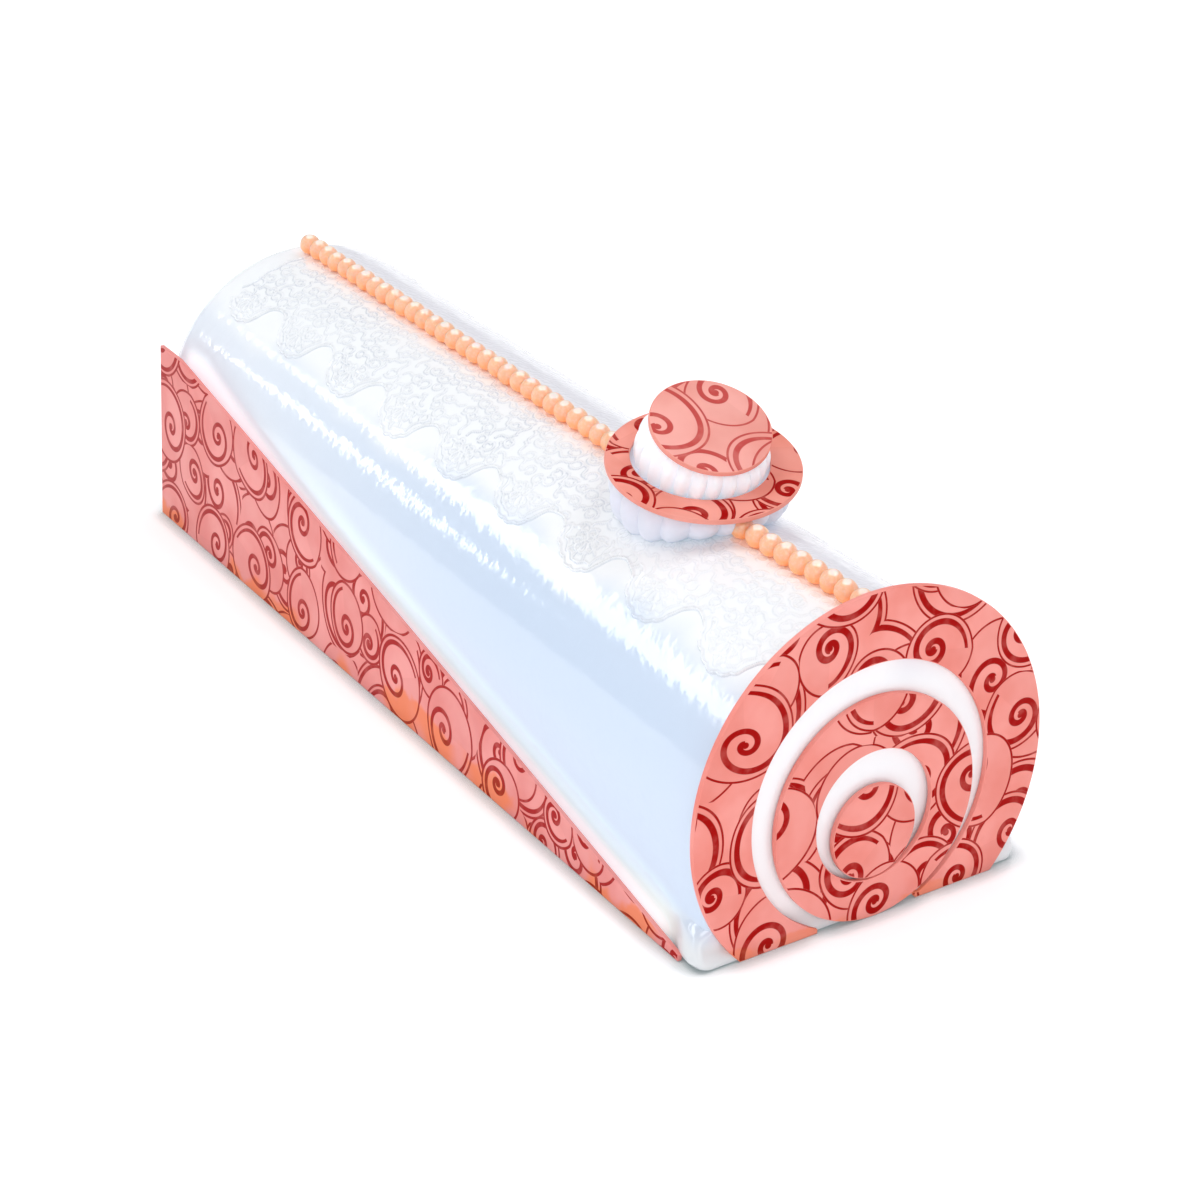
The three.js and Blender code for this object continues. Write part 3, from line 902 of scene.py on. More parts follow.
def curve_through(points):
    """A smooth curve through points, as points about 0.2 mm apart."""
    dense = []
    for i in range(len(points) - 1):
        ends = [Vector(points[min(max(j, 0), len(points) - 1)]) for j in range(i - 1, i + 3)]
        pieces = max(2, int((ends[2] - ends[1]).length / (0.2 * MM)))
        for k in range(pieces):
            t = k / pieces
            dense.append(tuple(
                0.5 * (
                    2 * ends[1]
                    + (ends[2] - ends[0]) * t
                    + (2 * ends[0] - 5 * ends[1] + 4 * ends[2] - ends[3]) * t * t
                    + (3 * ends[1] - ends[0] - 3 * ends[2] + ends[3]) * t * t * t
                )
            ))
    dense.append(tuple(points[-1]))
    return dense


class LaceDrawing:
    """The threads of the lace, drawn flat: along the log, and arc length away from the ridge."""

    # One scallop of the border, in shares of a fan's reach: along from its middle, and outwards.
    SCALLOP = (
        (-1.28, 0.22), (-1.13, 0.52), (-0.75, 0.80), (-0.15, 1.0), (0.37, 0.95),
        (0.74, 0.72), (0.96, 0.39), (1.16, 0.12), (1.52, -0.04), (1.90, 0.03),
    )

    def __init__(self, plan, sizes, seed):
        self.plan = plan
        self.sizes = sizes
        self.chance = random.Random(seed)
        self.start = plan.back + 14.5 * MM
        self.end = plan.front - 2.5 * MM
        self.fine = []
        self.border = self.draw_border()
        self.draw_fans()
        self.draw_net()

    def fan_middles(self):
        first = self.plan.back + self.sizes.first_fan
        return [first + i * self.sizes.pitch for i in range(self.sizes.fans)]

    def draw_border(self):
        """Down the back edge, then one scallop round each fan."""
        depth, reach = self.sizes.depth, self.sizes.fan_radius
        points = []
        bends = 7
        for i in range(bends):
            points.append((self.start - 0.4 * MM + (i % 2) * 0.9 * MM, depth * (0.05 + i / bends)))
        for middle in self.fan_middles():
            shallow = 1.6 * MM * (1 - smoothstep(middle, self.plan.back, self.plan.back + 140 * MM))
            for along, out in self.SCALLOP:
                sway = self.chance.uniform(-0.25, 0.25) * MM
                points.append((middle + along * reach, depth - shallow + out * reach + sway))
        points.append((self.end + 3 * MM, depth))
        self.outline = self.lobed(curve_through(points[bends:]))
        return curve_through(points[: bends + 1]) + self.outline

    def lobed(self, line):
        """Draws small lobes along the outer edge of each fan."""
        lobe, reach, depth = 4.4 * MM, self.sizes.fan_radius, self.sizes.depth
        run, edge = 0.0, []
        for number, (x, arc) in enumerate(line):
            if number:
                run += math.dist(line[number - 1], (x, arc))
            swell = 0.6 * MM * smoothstep(arc, depth + 0.2 * reach, depth + 0.7 * reach)
            edge.append((x, arc + swell * (abs(math.sin(math.pi * run / lobe)) ** 0.8 - 0.6)))
        return edge

    def hub(self, x):
        """The hub of the fan nearest to a place along the log."""
        middle = min(self.fan_middles(), key=lambda candidate: abs(candidate - x))
        return Vector((middle - 1.4 * MM, self.sizes.depth + 0.2 * MM))

    def draw_fans(self):
        """Each fan has a hub, a ring of petals and ribs that run out to its inner line."""
        reach = self.sizes.fan_radius
        for middle in self.fan_middles():
            hub = self.hub(middle)
            self.fine.extend(arc_points(hub, (1.1 * MM, 1.0 * MM), 0, 360))
            petals = 6
            for i in range(petals):
                turn = math.radians(mix(172, 10, i / (petals - 1)) + self.chance.uniform(-5, 5))
                ray = Vector((math.cos(turn), math.sin(turn)))
                petal = hub + ray * reach * 0.36
                for x, arc in arc_points((0, 0), (reach * 0.17, reach * 0.125), 0, 360):
                    turned = Vector((x * ray.x - arc * ray.y, x * ray.y + arc * ray.x))
                    self.fine.append(tuple(petal + turned))
            for i in range(petals + 1):
                turn = math.radians(mix(182, -4, i / petals) + self.chance.uniform(-4, 4))
                ray = Vector((math.cos(turn), math.sin(turn)))
                inner, outer = hub + ray * reach * 0.42, hub + ray * reach * 0.72
                self.fine.extend(tuple(inner.lerp(outer, k / 10)) for k in range(11))

    def inner_line(self, x, arc):
        """How far inside the border the wavy inner line runs, or None away from the fans."""
        hub = self.hub(x)
        away = Vector((x, arc)) - hub
        if away.y < -0.5 * MM or away.length > self.sizes.fan_radius * 1.35:
            return None
        turn = math.atan2(away.y, away.x)
        return (1.7 + 0.7 * abs(math.sin(turn * 4.5))) * MM

    def draw_net(self):
        """Between the ridge and the fans, small curls and rings fill a loose net."""
        pitch = 4.2 * MM
        columns = int((self.end - self.start) / pitch)
        rows = int((self.sizes.depth - 1.2 * MM) / pitch)
        for column in range(columns):
            for row in range(rows + 1):
                jitter = [self.chance.uniform(-0.9, 0.9) * MM for _ in range(2)]
                x = self.start + (column + 0.6 + 0.5 * (row % 2)) * pitch + jitter[0]
                arc = 0.4 * MM + (row + 0.5) * pitch + jitter[1]
                kind = self.chance.random()
                turn = self.chance.uniform(0, 360)
                if kind < 0.12:
                    size = self.chance.uniform(1.3, 1.9) * MM
                    self.fine.extend(arc_points((x, arc), (size, size * 0.85), turn, turn + 300))
                elif kind < 0.62:
                    size = self.chance.uniform(2.0, 2.8) * MM
                    self.fine.extend(arc_points((x, arc), (size, size * 0.7), turn, turn + 180))
                    self.fine.extend(arc_points((x, arc), (size * 0.45, size * 0.4), turn + 180, turn + 360))
                else:
                    ray = Vector((math.cos(math.radians(turn)), math.sin(math.radians(turn))))
                    side = Vector((-ray.y, ray.x))
                    for k in range(17):
                        part = k / 8 - 1
                        point = Vector((x, arc)) + ray * part * 2.6 * MM
                        self.fine.append(tuple(point + side * 0.6 * MM * math.sin(part * math.pi)))

    def depth_at(self, x):
        """How far from the ridge the outline lies at a place along the log."""
        low, high = 0, len(self.outline) - 1
        if x <= self.outline[0][0]:
            return self.outline[0][1]
        while high - low > 1:
            middle = (low + high) // 2
            low, high = (middle, high) if self.outline[middle][0] <= x else (low, middle)
        (x0, arc0), (x1, arc1) = self.outline[low], self.outline[high]
        return mix(arc0, arc1, min(1.0, (x - x0) / max(x1 - x0, 1e-9)))


def tree_of(points):
    """Flat points in a tree that finds the nearest one."""
    tree = KDTree(len(points))
    for i, (x, arc) in enumerate(points):
        tree.insert((x, arc, 0), i)
    tree.balance()
    return tree


def thread_height(distance, half_width):
    """The rounded section of a thread."""
    if distance >= half_width:
        return 0.0
    return 0.5 + 0.5 * math.cos(math.pi * distance / half_width)


def thread_shadow_depth(place, thread, distance, half_width, spread):
    """How strong the painted shadow beside a thread is at a place: 1 at the thread's foot, 0 away from it.

    The painted shadow is stronger on the side that looks down the log's flank and forwards.
    """
    depth = max(0.0, 1 - abs(distance - half_width * 0.95) / spread)
    if depth > 0:
        facing = (place - thread).dot(Vector((0.45, 0.89, 0))) / distance
        depth *= 0.2 + 0.8 * smoothstep(facing, -0.4, 0.4)
    return depth


def model_lace(plan, sizes, side, seed):
    """One half of the lace: a fine sheet that follows the log, raised along its threads."""
    drawing = LaceDrawing(plan, sizes, seed)
    border, fine = tree_of(drawing.border), tree_of(drawing.fine)
    bold_half, fine_half, sunk = 0.55 * MM, 0.42 * MM, 0.2 * MM
    shoulder = bold_half * 1.5
    raised = 1.0 if side < 0 else 0.3  # the far half is pressed flatter

    def sample(x, arc):
        """The height over the log, the strength of the painted shadow beside the threads, and whether the
        sheet goes there.
        """
        flat = Vector((x, arc, 0))
        inside = x > drawing.start and arc < drawing.depth_at(x)
        border_at, _, to_border = border.find(flat)
        thread_shadow = thread_shadow_depth(flat, border_at, to_border, bold_half, 0.36 * MM)
        if inside:
            ground = sizes.mat * smoothstep(to_border, 0.0, 0.8 * MM)
            fine_at, _, to_fine = fine.find(flat)
            line = drawing.inner_line(x, arc)
            if line is not None and abs(to_border - line) < to_fine:
                to_fine = abs(to_border - line)
                fine_at = flat + (flat - border_at).normalized() * (line - to_border)
            fine_height = thread_height(to_fine, fine_half)
            # The painted shadow beside the fine threads varies at random and fades towards the front.
            fine_shadow_strength = 0.7 + 0.5 * noise.noise(flat / (14 * MM))
            fine_shadow_strength *= 1 - 0.5 * smoothstep(x, drawing.end - 90 * MM, drawing.end - 50 * MM)
            thread_shadow = max(thread_shadow, thread_shadow_depth(flat, fine_at, to_fine, fine_half, 0.33 * MM) * fine_shadow_strength)
        else:
            ground = -sunk * min(1.0, to_border / shoulder)
            fine_height = 0.0
        threads = max(sizes.thread * thread_height(to_border, bold_half), sizes.fine_thread * fine_height)
        drop = smoothstep(x, drawing.end - 0.5 * MM, drawing.end) * (sunk + sizes.mat)
        return ground + threads * raised - drop, thread_shadow * raised, inside or to_border < shoulder

    margin = 1.4 * MM  # how far the sheet starts before the drawing does
    ridge_gap = 0.06 * MM  # the two halves stop just short of each other under the pearls
    long = drawing.end - drawing.start + margin
    wide = sizes.depth + sizes.fan_radius + 2 * MM
    piece = begin(
        bpy.ops.mesh.primitive_grid_add,
        x_subdivisions=int(long / sizes.cell),
        y_subdivisions=int(wide / sizes.cell),
        size=1,
        location=(0.5, 0.5, 0),
    )
    samples = []
    for vertex in piece.data.vertices:
        x = drawing.start - margin + vertex.co.x * long
        arc = ridge_gap + vertex.co.y * wide
        samples.append(sample(x, arc))
        vertex.co = (x, arc, 0)
    # The painted shadows beside the threads are kept on the mesh for the lace's glaze.
    thread_shadows = [thread_shadow for _, thread_shadow, _ in samples]
    piece.data.attributes.new("thread_shadow", "FLOAT", "POINT").data.foreach_set("value", thread_shadows)
    relief = piece.vertex_groups.new(name="relief")
    keep = piece.vertex_groups.new(name="keep")
    start_depth = 1.5 * sunk  # how deep in the log the sheet lies before it is raised
    span = sizes.mat + sizes.thread + 2 * sunk
    for index, (height, _, kept) in enumerate(samples):
        relief.add([index], clamp((height + start_depth) / span), "REPLACE")
        if kept:
            keep.add([index], 1.0, "REPLACE")
    modify(piece, "MASK", vertex_group="keep")
    edit("VERT")
    pick_all()
    bpy.ops.mesh.delete_loose()
    pick_all()
    if side < 0:
        bpy.ops.mesh.flip_normals()
    leave_edit()

    def on_log(point):
        placed = plan.at(point.x, point.y, -start_depth)
        placed.y *= -side
        settled = plan.settle(placed)
        narrowing = 1 - rounding_drop(plan, point.x) / plan.radius
        settled.y *= narrowing
        settled.z = plan.axis + (settled.z - plan.axis) * narrowing
        return settled

    reshape(piece, on_log)
    modify(piece, "DISPLACE", vertex_group="relief", strength=span, mid_level=0.0, direction="NORMAL")
    # The rim is drawn down into the log and closed, so that the sheet is a solid.
    edit("EDGE")
    pick_rim()
    bpy.ops.mesh.extrude_edges_move()
    shrink = 1 - 0.6 * MM / plan.radius
    bpy.ops.transform.resize(value=(1, shrink, shrink), center_override=(0, 0, plan.axis))
    bpy.ops.mesh.edge_face_add()
    pick_rim()
    bpy.ops.mesh.fill_holes(sides=0)
    leave_edit()
    return piece


def rounding_drop(plan, x):
    """How far the log's surface lies under its full radius where an end is rounded."""
    sizes = plan.sizes
    for past, rounding in (
        (plan.back + sizes.back_round - x, sizes.back_round),
        (x - plan.front + sizes.front_round, sizes.front_round),
    ):
        if past > 0:
            return rounding * (1 - math.sqrt(1 - min(1.0, past / rounding) ** 2))
    return 0.0


# ---- the chocolate plates ----


def round_plate(radius, middle=(0.0, 0.0), hole=None, hole_middle=(0.0, 0.0)):
    """A flat disc in the XY plane, with a hole if one is given. It has no thickness yet."""
    piece = begin(
        bpy.ops.mesh.primitive_circle_add,
        vertices=192,
        radius=radius,
        fill_type="NGON",
        location=(*middle, 0),
    )
    if hole is not None:
        edit("FACE")
        pick_all()
        inset = (radius - hole) / 2
        bpy.ops.mesh.inset(thickness=inset)
        scale = hole / (radius - inset)
        bpy.ops.transform.resize(value=(scale, scale, 1), center_override=(*middle, 0))
        move = (hole_middle[0] - middle[0], hole_middle[1] - middle[1], 0)
        bpy.ops.transform.translate(value=move)
        bpy.ops.mesh.delete(type="FACE")
        leave_edit()
    return piece


def trim_ring_legs(left_tip, right_tip, tip_lift):
    """Cuts the ring flat at the table and shapes the tips of its two legs."""
    low = 6 * MM
    toe = right_tip + 1 * MM
    edit("FACE")
    cut((0, 0, 0), (0, -1, 0), clear_above=True)
    for side, tip in ((-1, left_tip), (1, toe)):
        def in_leg(face):
            middle = face.calc_center_median()
            return middle.y < low and middle.x * side > 8 * MM
        pick("FACE", in_leg)
        cut_picked((tip, 0, 0), (-side, 0, 0), clear_above=True)
    pick("VERT", lambda vertex: abs(vertex.co.x - toe) < NEAR and NEAR < vertex.co.y < low)
    bpy.ops.transform.translate(value=(right_tip - toe, tip_lift, 0))
    leave_edit()


def slope_cuts(back, front, high, low, bow):
    """Tangent lines of a gently bowed slope, as (point, outward normal) in the XY plane."""
    middle = Vector(((back + front) / 2, (high + low) / 2 + 2 * bow))
    first, last = Vector((back, high)), Vector((front, low))
    tangents = []
    steps = 10
    for i in range(steps + 1):
        t = i / steps
        point = first * (1 - t) ** 2 + middle * 2 * t * (1 - t) + last * t * t
        along = (middle - first) * (1 - t) + (last - middle) * t
        tangents.append(((point.x, point.y, 0), (-along.y, along.x, 0)))
    return tangents


def finish_plate(piece, name, node, materials, thickness, edge, matrix):
    """Gives a flat outline its thickness under its printed face, rounds its edges and stands it up.

    The first material goes on the back and the edges, and the second on the printed face.
    """
    edit("FACE")
    pick_all()
    bpy.ops.mesh.extrude_region_move(TRANSFORM_OT_translate={"value": (0, 0, -thickness)})
    pick_all()
    bpy.ops.mesh.normals_make_consistent(inside=False)
    bpy.ops.mesh.select_mode(type="EDGE")
    bpy.ops.mesh.select_all(action="DESELECT")
    bpy.ops.mesh.edges_select_sharp(sharpness=math.radians(50))
    bpy.ops.mesh.bevel(offset=edge, segments=3, affect="EDGES", clamp_overlap=True)
    pick_all()
    bpy.ops.mesh.remove_doubles(threshold=0.001 * MM)
    leave_edit()
    flat = piece.data.uv_layers.new(name="print")
    for loop in piece.data.loops:
        flat.data[loop.index].uv = piece.data.vertices[loop.vertex_index].co.xy
    printed = [abs(face.center.z) < NEAR and face.normal.z > 0.9 for face in piece.data.polygons]
    piece.matrix_world = matrix
    activate(piece)
    bpy.ops.object.transform_apply(location=True, rotation=True, scale=True)
    finish(piece, name, [node], materials)
    for face, is_printed in zip(piece.data.polygons, printed):
        face.material_index = 1 if is_printed else 0


def upright(across, up, out):
    """A matrix that stands the XY plane up: X goes across, Y goes up and Z goes out."""
    return Matrix((across, up, out)).transposed().to_4x4()


# ---- the piped cream ----


def spline(values, part):
    """A smooth curve through evenly spaced values, a part of the way along."""
    last = len(values) - 1
    place = min(part, 1.0) * last
    i = min(int(place), last - 1)
    t = place - i
    before, start, end, after = values[max(i - 1, 0)], values[i], values[i + 1], values[min(i + 2, last)]
    slope_a, slope_b = (end - before) / 2, (after - start) / 2
    return (
        (2 * t**3 - 3 * t**2 + 1) * start
        + (t**3 - 2 * t**2 + t) * slope_a
        + (3 * t**2 - 2 * t**3) * end
        + (t**3 - t**2) * slope_b
    )


def model_rosette(radii, flutes, depth, twist, foot_x, top_x, y, foot, top, seed):
    """A fluted mound of cream between the surface that it was piped on and the one that lies on it.

    The radii are in millimetres from foot to top, and foot and top give heights for x and y.
    """
    per_flute, levels = 14, 26
    radii = [radius * MM for radius in radii]
    piece = begin(
        bpy.ops.mesh.primitive_cylinder_add,
        vertices=flutes * per_flute,
        radius=1,
        depth=1,
        location=(0, 0, 0.5),
        end_fill_type="NGON",
    )
    edit("FACE")
    for level in range(1, levels):
        cut((0, 0, level / levels), (0, 0, 1))
    for end in (0, 1):
        pick("FACE", lambda face: all(abs(v.co.z - end) < 1e-6 for v in face.verts) and len(face.verts) > 4)
        for step in (0.07, 0.22, 0.22):
            bpy.ops.mesh.inset(thickness=step)
    leave_edit()
    chance = random.Random(seed)
    heights = [chance.uniform(-0.10, 0.10) for _ in range(flutes)]
    leans = [chance.uniform(-0.12, 0.12) for _ in range(flutes)]

    def shaped(point):
        part = point.z
        rim = math.hypot(point.x, point.y)
        turn = math.atan2(point.y, point.x) % (2 * math.pi)
        number = turn / (2 * math.pi) * flutes
        own = int(number) % flutes
        phase = number - int(number)
        ridge = math.sin(math.pi * clamp(phase + leans[own] * phase * (1 - phase) * 2))
        flute = ridge ** 0.85
        reach = spline(radii, part)
        wobble = noise.noise(Vector((point.x * 2, point.y * 2, part * 1.5 + seed))) * 0.5 * MM
        fluted = reach - depth * (1 - flute) + heights[own] * depth * flute + wobble
        out = fluted if rim > 0.999 else mix(reach - depth, fluted, smoothstep(rim, 0.6, 1.0)) * rim
        turned = turn + twist * part
        x = mix(foot_x, top_x, part) + out * math.cos(turned)
        at_y = y + out * math.sin(turned)
        return Vector((x, at_y, mix(foot(x, at_y), top(x, at_y), part)))

    reshape(piece, shaped)
    return piece


# ---- the pearls ----


def model_pearls(nodes, sizes, seed):
    """One pearl is modelled, then copied to the place of each CAD pearl and left a little uneven."""
    master = begin(bpy.ops.mesh.primitive_ico_sphere_add, subdivisions=4, radius=sizes.radius)
    edit("VERT")
    pick("VERT", lambda vertex: vertex.co.z < -0.8 * sizes.radius)
    bpy.ops.transform.resize(value=(1, 1, 0.97), center_override=(0, 0, 0))
    leave_edit()
    chance = random.Random(seed)
    pearls = []
    for node in nodes:
        low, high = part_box(node)
        centre = (low + high) / 2
        size = chance.uniform(0.975, 1.015)
        jitter = Vector((chance.uniform(-0.08, 0.08), chance.uniform(-0.18, 0.18), 0)) * MM
        at = Vector((centre.x, centre.y, low.z + sizes.radius - sizes.sink)) + jitter
        pearl = master.copy()
        pearl.data = master.data.copy()
        bpy.context.collection.objects.link(pearl)
        offset = Vector([chance.uniform(0, 50) for _ in range(3)])
        for vertex in pearl.data.vertices:
            out = vertex.co.normalized()
            bumped = noise.noise(out * 1.3 + offset) + 0.5 * noise.noise(out * 3.1 + offset)
            vertex.co = at + vertex.co * size + out * bumped * sizes.unevenness
        pearls.append(pearl)
    bpy.data.objects.remove(master)
    activate(*pearls)
    bpy.ops.object.join()
    return bpy.context.active_object


# ---- operators ----


class CAKE_OT_stage(bpy.types.Operator):
    """Sets the floor, the soft studio light and the camera"""

    bl_idname = "cake.stage"
    bl_label = "Stage"

    def execute(self, context):
        floor = begin(bpy.ops.mesh.primitive_circle_add, vertices=96, radius=8, fill_type="NGON")
        edit("FACE")
        pick_all()
        bpy.ops.mesh.inset(thickness=7)
        leave_edit()
        floor.name = "floor"
        floor.data.materials.append(*finishes("pale_floor"))
        self.light_world(context.scene)
        self.add_lamp()
        self.add_camera(context.scene)
        context.scene.view_settings.view_transform = "Standard"
        context.scene.view_settings.exposure = 0.0
        return {"FINISHED"}

    def light_world(self, scene):
        """Pale walls and ceiling, and the bright patches whose reflections show on the cake."""
        world = bpy.data.worlds.new("studio")
        scene.world = world
        world.use_nodes = True
        world.node_tree.nodes.clear()
        graph = Graph(world.node_tree)
        direction = graph.add("ShaderNodeTexCoord").outputs["Generated"]
        along, across, up = graph.axes(direction)
        shade = graph.blend(graph.ramp(up, 0.05, 0.45), (0.80, 0.87, 1.0, 1.0), (1.0, 1.0, 1.0, 1.0))
        far_side = graph.ramp(across, 0.15, 0.45)
        shade = graph.blend(far_side, shade, (0.96, 0.945, 1.0, 1.0))
        near_side = graph.times(graph.ramp(across, -0.3, -0.6), graph.ramp(along, -0.5, -0.25))
        strength = graph.line(far_side, 0.15, 0.50)
        strength = graph.line(near_side, 0.2, strength)
        beyond = graph.ramp(along, -0.25, -0.55)
        for patch, power in self.bright_patches(graph, along, across, up):
            strength = graph.line(graph.times(patch, beyond), power, strength)
        # Two round lamps overhead put the highlights on the pearls.
        for x, y in ((0.24, 0.40), (-0.20, -0.33)):
            axis = Vector((x, y, 1)).normalized()
            towards = graph.vector("DOT_PRODUCT", direction, tuple(axis))["Value"]
            strength = graph.line(graph.ramp(towards, 0.970, 0.980), 4.0, strength)
        background = graph.add("ShaderNodeBackground", {"Color": shade, "Strength": strength})
        graph.add("ShaderNodeOutputWorld", {"Surface": background.outputs[0]})

    def bright_patches(self, graph, along, across, up):
        """A white screen beyond the back end, its rim and a narrow lamp under it, each with its power.

        The screen's slanting lower edge and the lamp show as a bright band and a bright streak along
        the side of the glaze. Aside says how far a direction turns from the back to the near side.
        """
        aside = graph.math("DIVIDE", across, graph.math("MINIMUM", along, -0.05))
        edge = graph.math("MINIMUM", graph.line(aside, -0.23, 0.515), 0.40)
        over_edge = graph.minus(up, edge)
        blur = graph.ramp(aside, 0.76, 0.84, 0.005, 0.04)
        screen = graph.ramp(graph.math("DIVIDE", over_edge, blur), -1.0, 1.0)
        screen = graph.times(screen, graph.ramp(over_edge, 0.13, 0.08), graph.ramp(aside, 0.42, 0.50))
        rim = graph.ramp(graph.off(over_edge, 0.012), 0.016, 0.010)
        rim = graph.times(rim, graph.ramp(aside, 0.38, 0.41), graph.ramp(aside, 0.52, 0.46))
        sag = graph.math("MAXIMUM", graph.minus(aside, 0.62), 0.0)
        lamp = graph.ramp(graph.off(up, graph.line(sag, -0.45, 0.25)), 0.024, 0.018)
        lamp = graph.times(lamp, graph.ramp(aside, 0.545, 0.565), graph.ramp(aside, 0.748, 0.718))
        return (screen, 4.2), (rim, 2.0), (lamp, 6.0)

    def add_lamp(self):
        """A soft lamp in front, for the plaque."""
        place = Vector((1.5, -0.9, 0.9))
        bpy.ops.object.light_add(type="AREA", location=place)
        lamp = bpy.context.active_object
        lamp.name = "front"
        lamp.data.shape = "RECTANGLE"
        lamp.data.size, lamp.data.size_y = 1.2, 1.0
        lamp.data.energy = 7.5
        lamp.data.color = (1.0, 0.99, 0.98)
        lamp.visible_camera = False
        aim = Vector((0, 0, 0.05)) - place
        lamp.rotation_mode = "QUATERNION"
        lamp.rotation_quaternion = aim.to_track_quat("-Z", "Y")

    def add_camera(self, scene):
        """The camera looks from the near side and the front, a little down."""
        azimuth, elevation = math.radians(58.75), math.radians(26.46)
        distance = 810.4 * MM
        target = Vector((PLAQUE_X - 122.4 * MM, 1.9 * MM, 28.9 * MM))
        back = Vector((
            math.sin(azimuth) * math.cos(elevation),
            -math.cos(azimuth) * math.cos(elevation),
            math.sin(elevation),
        ))
        bpy.ops.object.camera_add(location=target + back * distance)
        camera = bpy.context.active_object
        camera.data.lens = 94.04
        camera.data.sensor_width = 36
        camera.data.clip_start = 0.01
        camera.data.clip_end = 50
        camera.rotation_mode = "QUATERNION"
        camera.rotation_quaternion = (-back).to_track_quat("-Z", "Y")
        scene.camera = camera


class CAKE_OT_log(bpy.types.Operator):
    """Models the glazed log with its pooled foot"""

    bl_idname = "cake.log"
    bl_label = "Glazed log"

    def execute(self, context):
        piece = model_log(LogPlan(context.scene))
        finish(piece, "glazed_log", ["log_body"], finishes("white_glaze"), smooth=40)
        return {"FINISHED"}


class CAKE_OT_lace(bpy.types.Operator):
    """Models the two halves of the raised lace"""

    bl_idname = "cake.lace"
    bl_label = "Lace"

    def execute(self, context):
        plan = LogPlan(context.scene)
        for name, side, seed in (("lace_left", -1, 5), ("lace_right", 1, 8)):
            piece = model_lace(plan, context.scene.cake_lace, side, seed)
            finish(piece, name, [], finishes("white_lace"), smooth=60)
        return {"FINISHED"}


class CAKE_OT_plaque(bpy.types.Operator):
    """Models the ring and the two discs of the end plaque"""

    bl_idname = "cake.plaque"
    bl_label = "End plaque"

    def execute(self, context):
        sizes = context.scene.cake_plates
        lean_back = Matrix.Rotation(-sizes.lean, 4, "Y")
        stand = Matrix.Translation((PLAQUE_X, 0, 0)) @ Matrix.Rotation(sizes.yaw, 4, "Z") @ lean_back
        face = Matrix.Translation((0.7 * MM, 0, 0)) @ upright((0, 1, 0), (0, 0, 1), (1, 0, 0))

        def put_up(piece, name, node, matrix):
            materials = finishes("plaque_plain", "plaque_print")
            finish_plate(piece, name, node, materials, sizes.plaque_thickness, sizes.edge, matrix)

        low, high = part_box("end_ring")
        radius = (high.y - low.y) / 2 / math.cos(sizes.yaw)
        ring = round_plate(radius, (0, high.z - radius), sizes.ring_hole, (0, sizes.ring_hole_z))
        trim_ring_legs(left_tip=-14.6 * MM, right_tip=13 * MM, tip_lift=0.8 * MM)
        put_up(ring, "plaque_ring", "end_ring", stand @ face)

        # The two discs stand a step in front of the ring, and lean back against it.
        low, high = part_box("end_disc_middle")
        radius = (high.z - low.z) / 2
        lean = Matrix.Rotation(-math.atan(sizes.middle_step / (2 * radius)), 4, "Y")
        leaning = stand @ Matrix.Translation((sizes.middle_step, 0, 0)) @ lean @ face
        middle = round_plate(radius, (0.9 * MM, radius), sizes.middle_hole, (0.5 * MM, sizes.middle_hole_z))
        put_up(middle, "plaque_middle", "end_disc_middle", leaning)

        low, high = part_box("end_disc_inner")
        inner = round_plate((high.z - low.z) / 2, (0.6 * MM, (low.z + high.z) / 2))
        put_up(inner, "plaque_inner", "end_disc_inner", leaning)
        return {"FINISHED"}


class CAKE_OT_strips(bpy.types.Operator):
    """Models the tapering strip along each side"""

    bl_idname = "cake.strips"
    bl_label = "Side strips"

    def execute(self, context):
        sizes = context.scene.cake_plates
        materials = finishes("strip_plain", "strip_print")
        strips = (("strip_left", "side_strip_left", -1), ("strip_right", "side_strip_right", 1))
        for name, node, side in strips:
            low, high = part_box(node)
            long, tall = high.x - low.x, (high.z - low.z) / math.cos(sizes.strip_lean)
            piece = begin(bpy.ops.mesh.primitive_plane_add, size=1, location=(0.5, 0.5, 0))
            piece.scale = (long, tall, 1)
            bpy.ops.object.transform_apply(location=False, rotation=False, scale=True)
            edit("FACE")
            for point, normal in slope_cuts(sizes.strip_level, long, tall, sizes.strip_tip, sizes.strip_bow):
                cut(point, normal, clear_above=True)
            leave_edit()
            if side > 0:  # the outline is turned over, so that its printed face looks outwards
                reshape(piece, lambda point: Vector((-point.x, point.y, point.z)))
                edit("FACE")
                pick_all()
                bpy.ops.mesh.flip_normals()
                leave_edit()
            foot_y = max(abs(low.y), abs(high.y)) * side
            heel = sizes.strip_thickness * math.sin(sizes.strip_lean)
            lean = Matrix.Rotation(sizes.strip_lean * side, 4, "X")
            stand = Matrix.Translation((low.x, foot_y, heel)) @ lean
            matrix = stand @ upright((-side, 0, 0), (0, 0, 1), (0, side, 0))
            finish_plate(piece, name, node, materials, sizes.strip_thickness, sizes.edge, matrix)
        return {"FINISHED"}


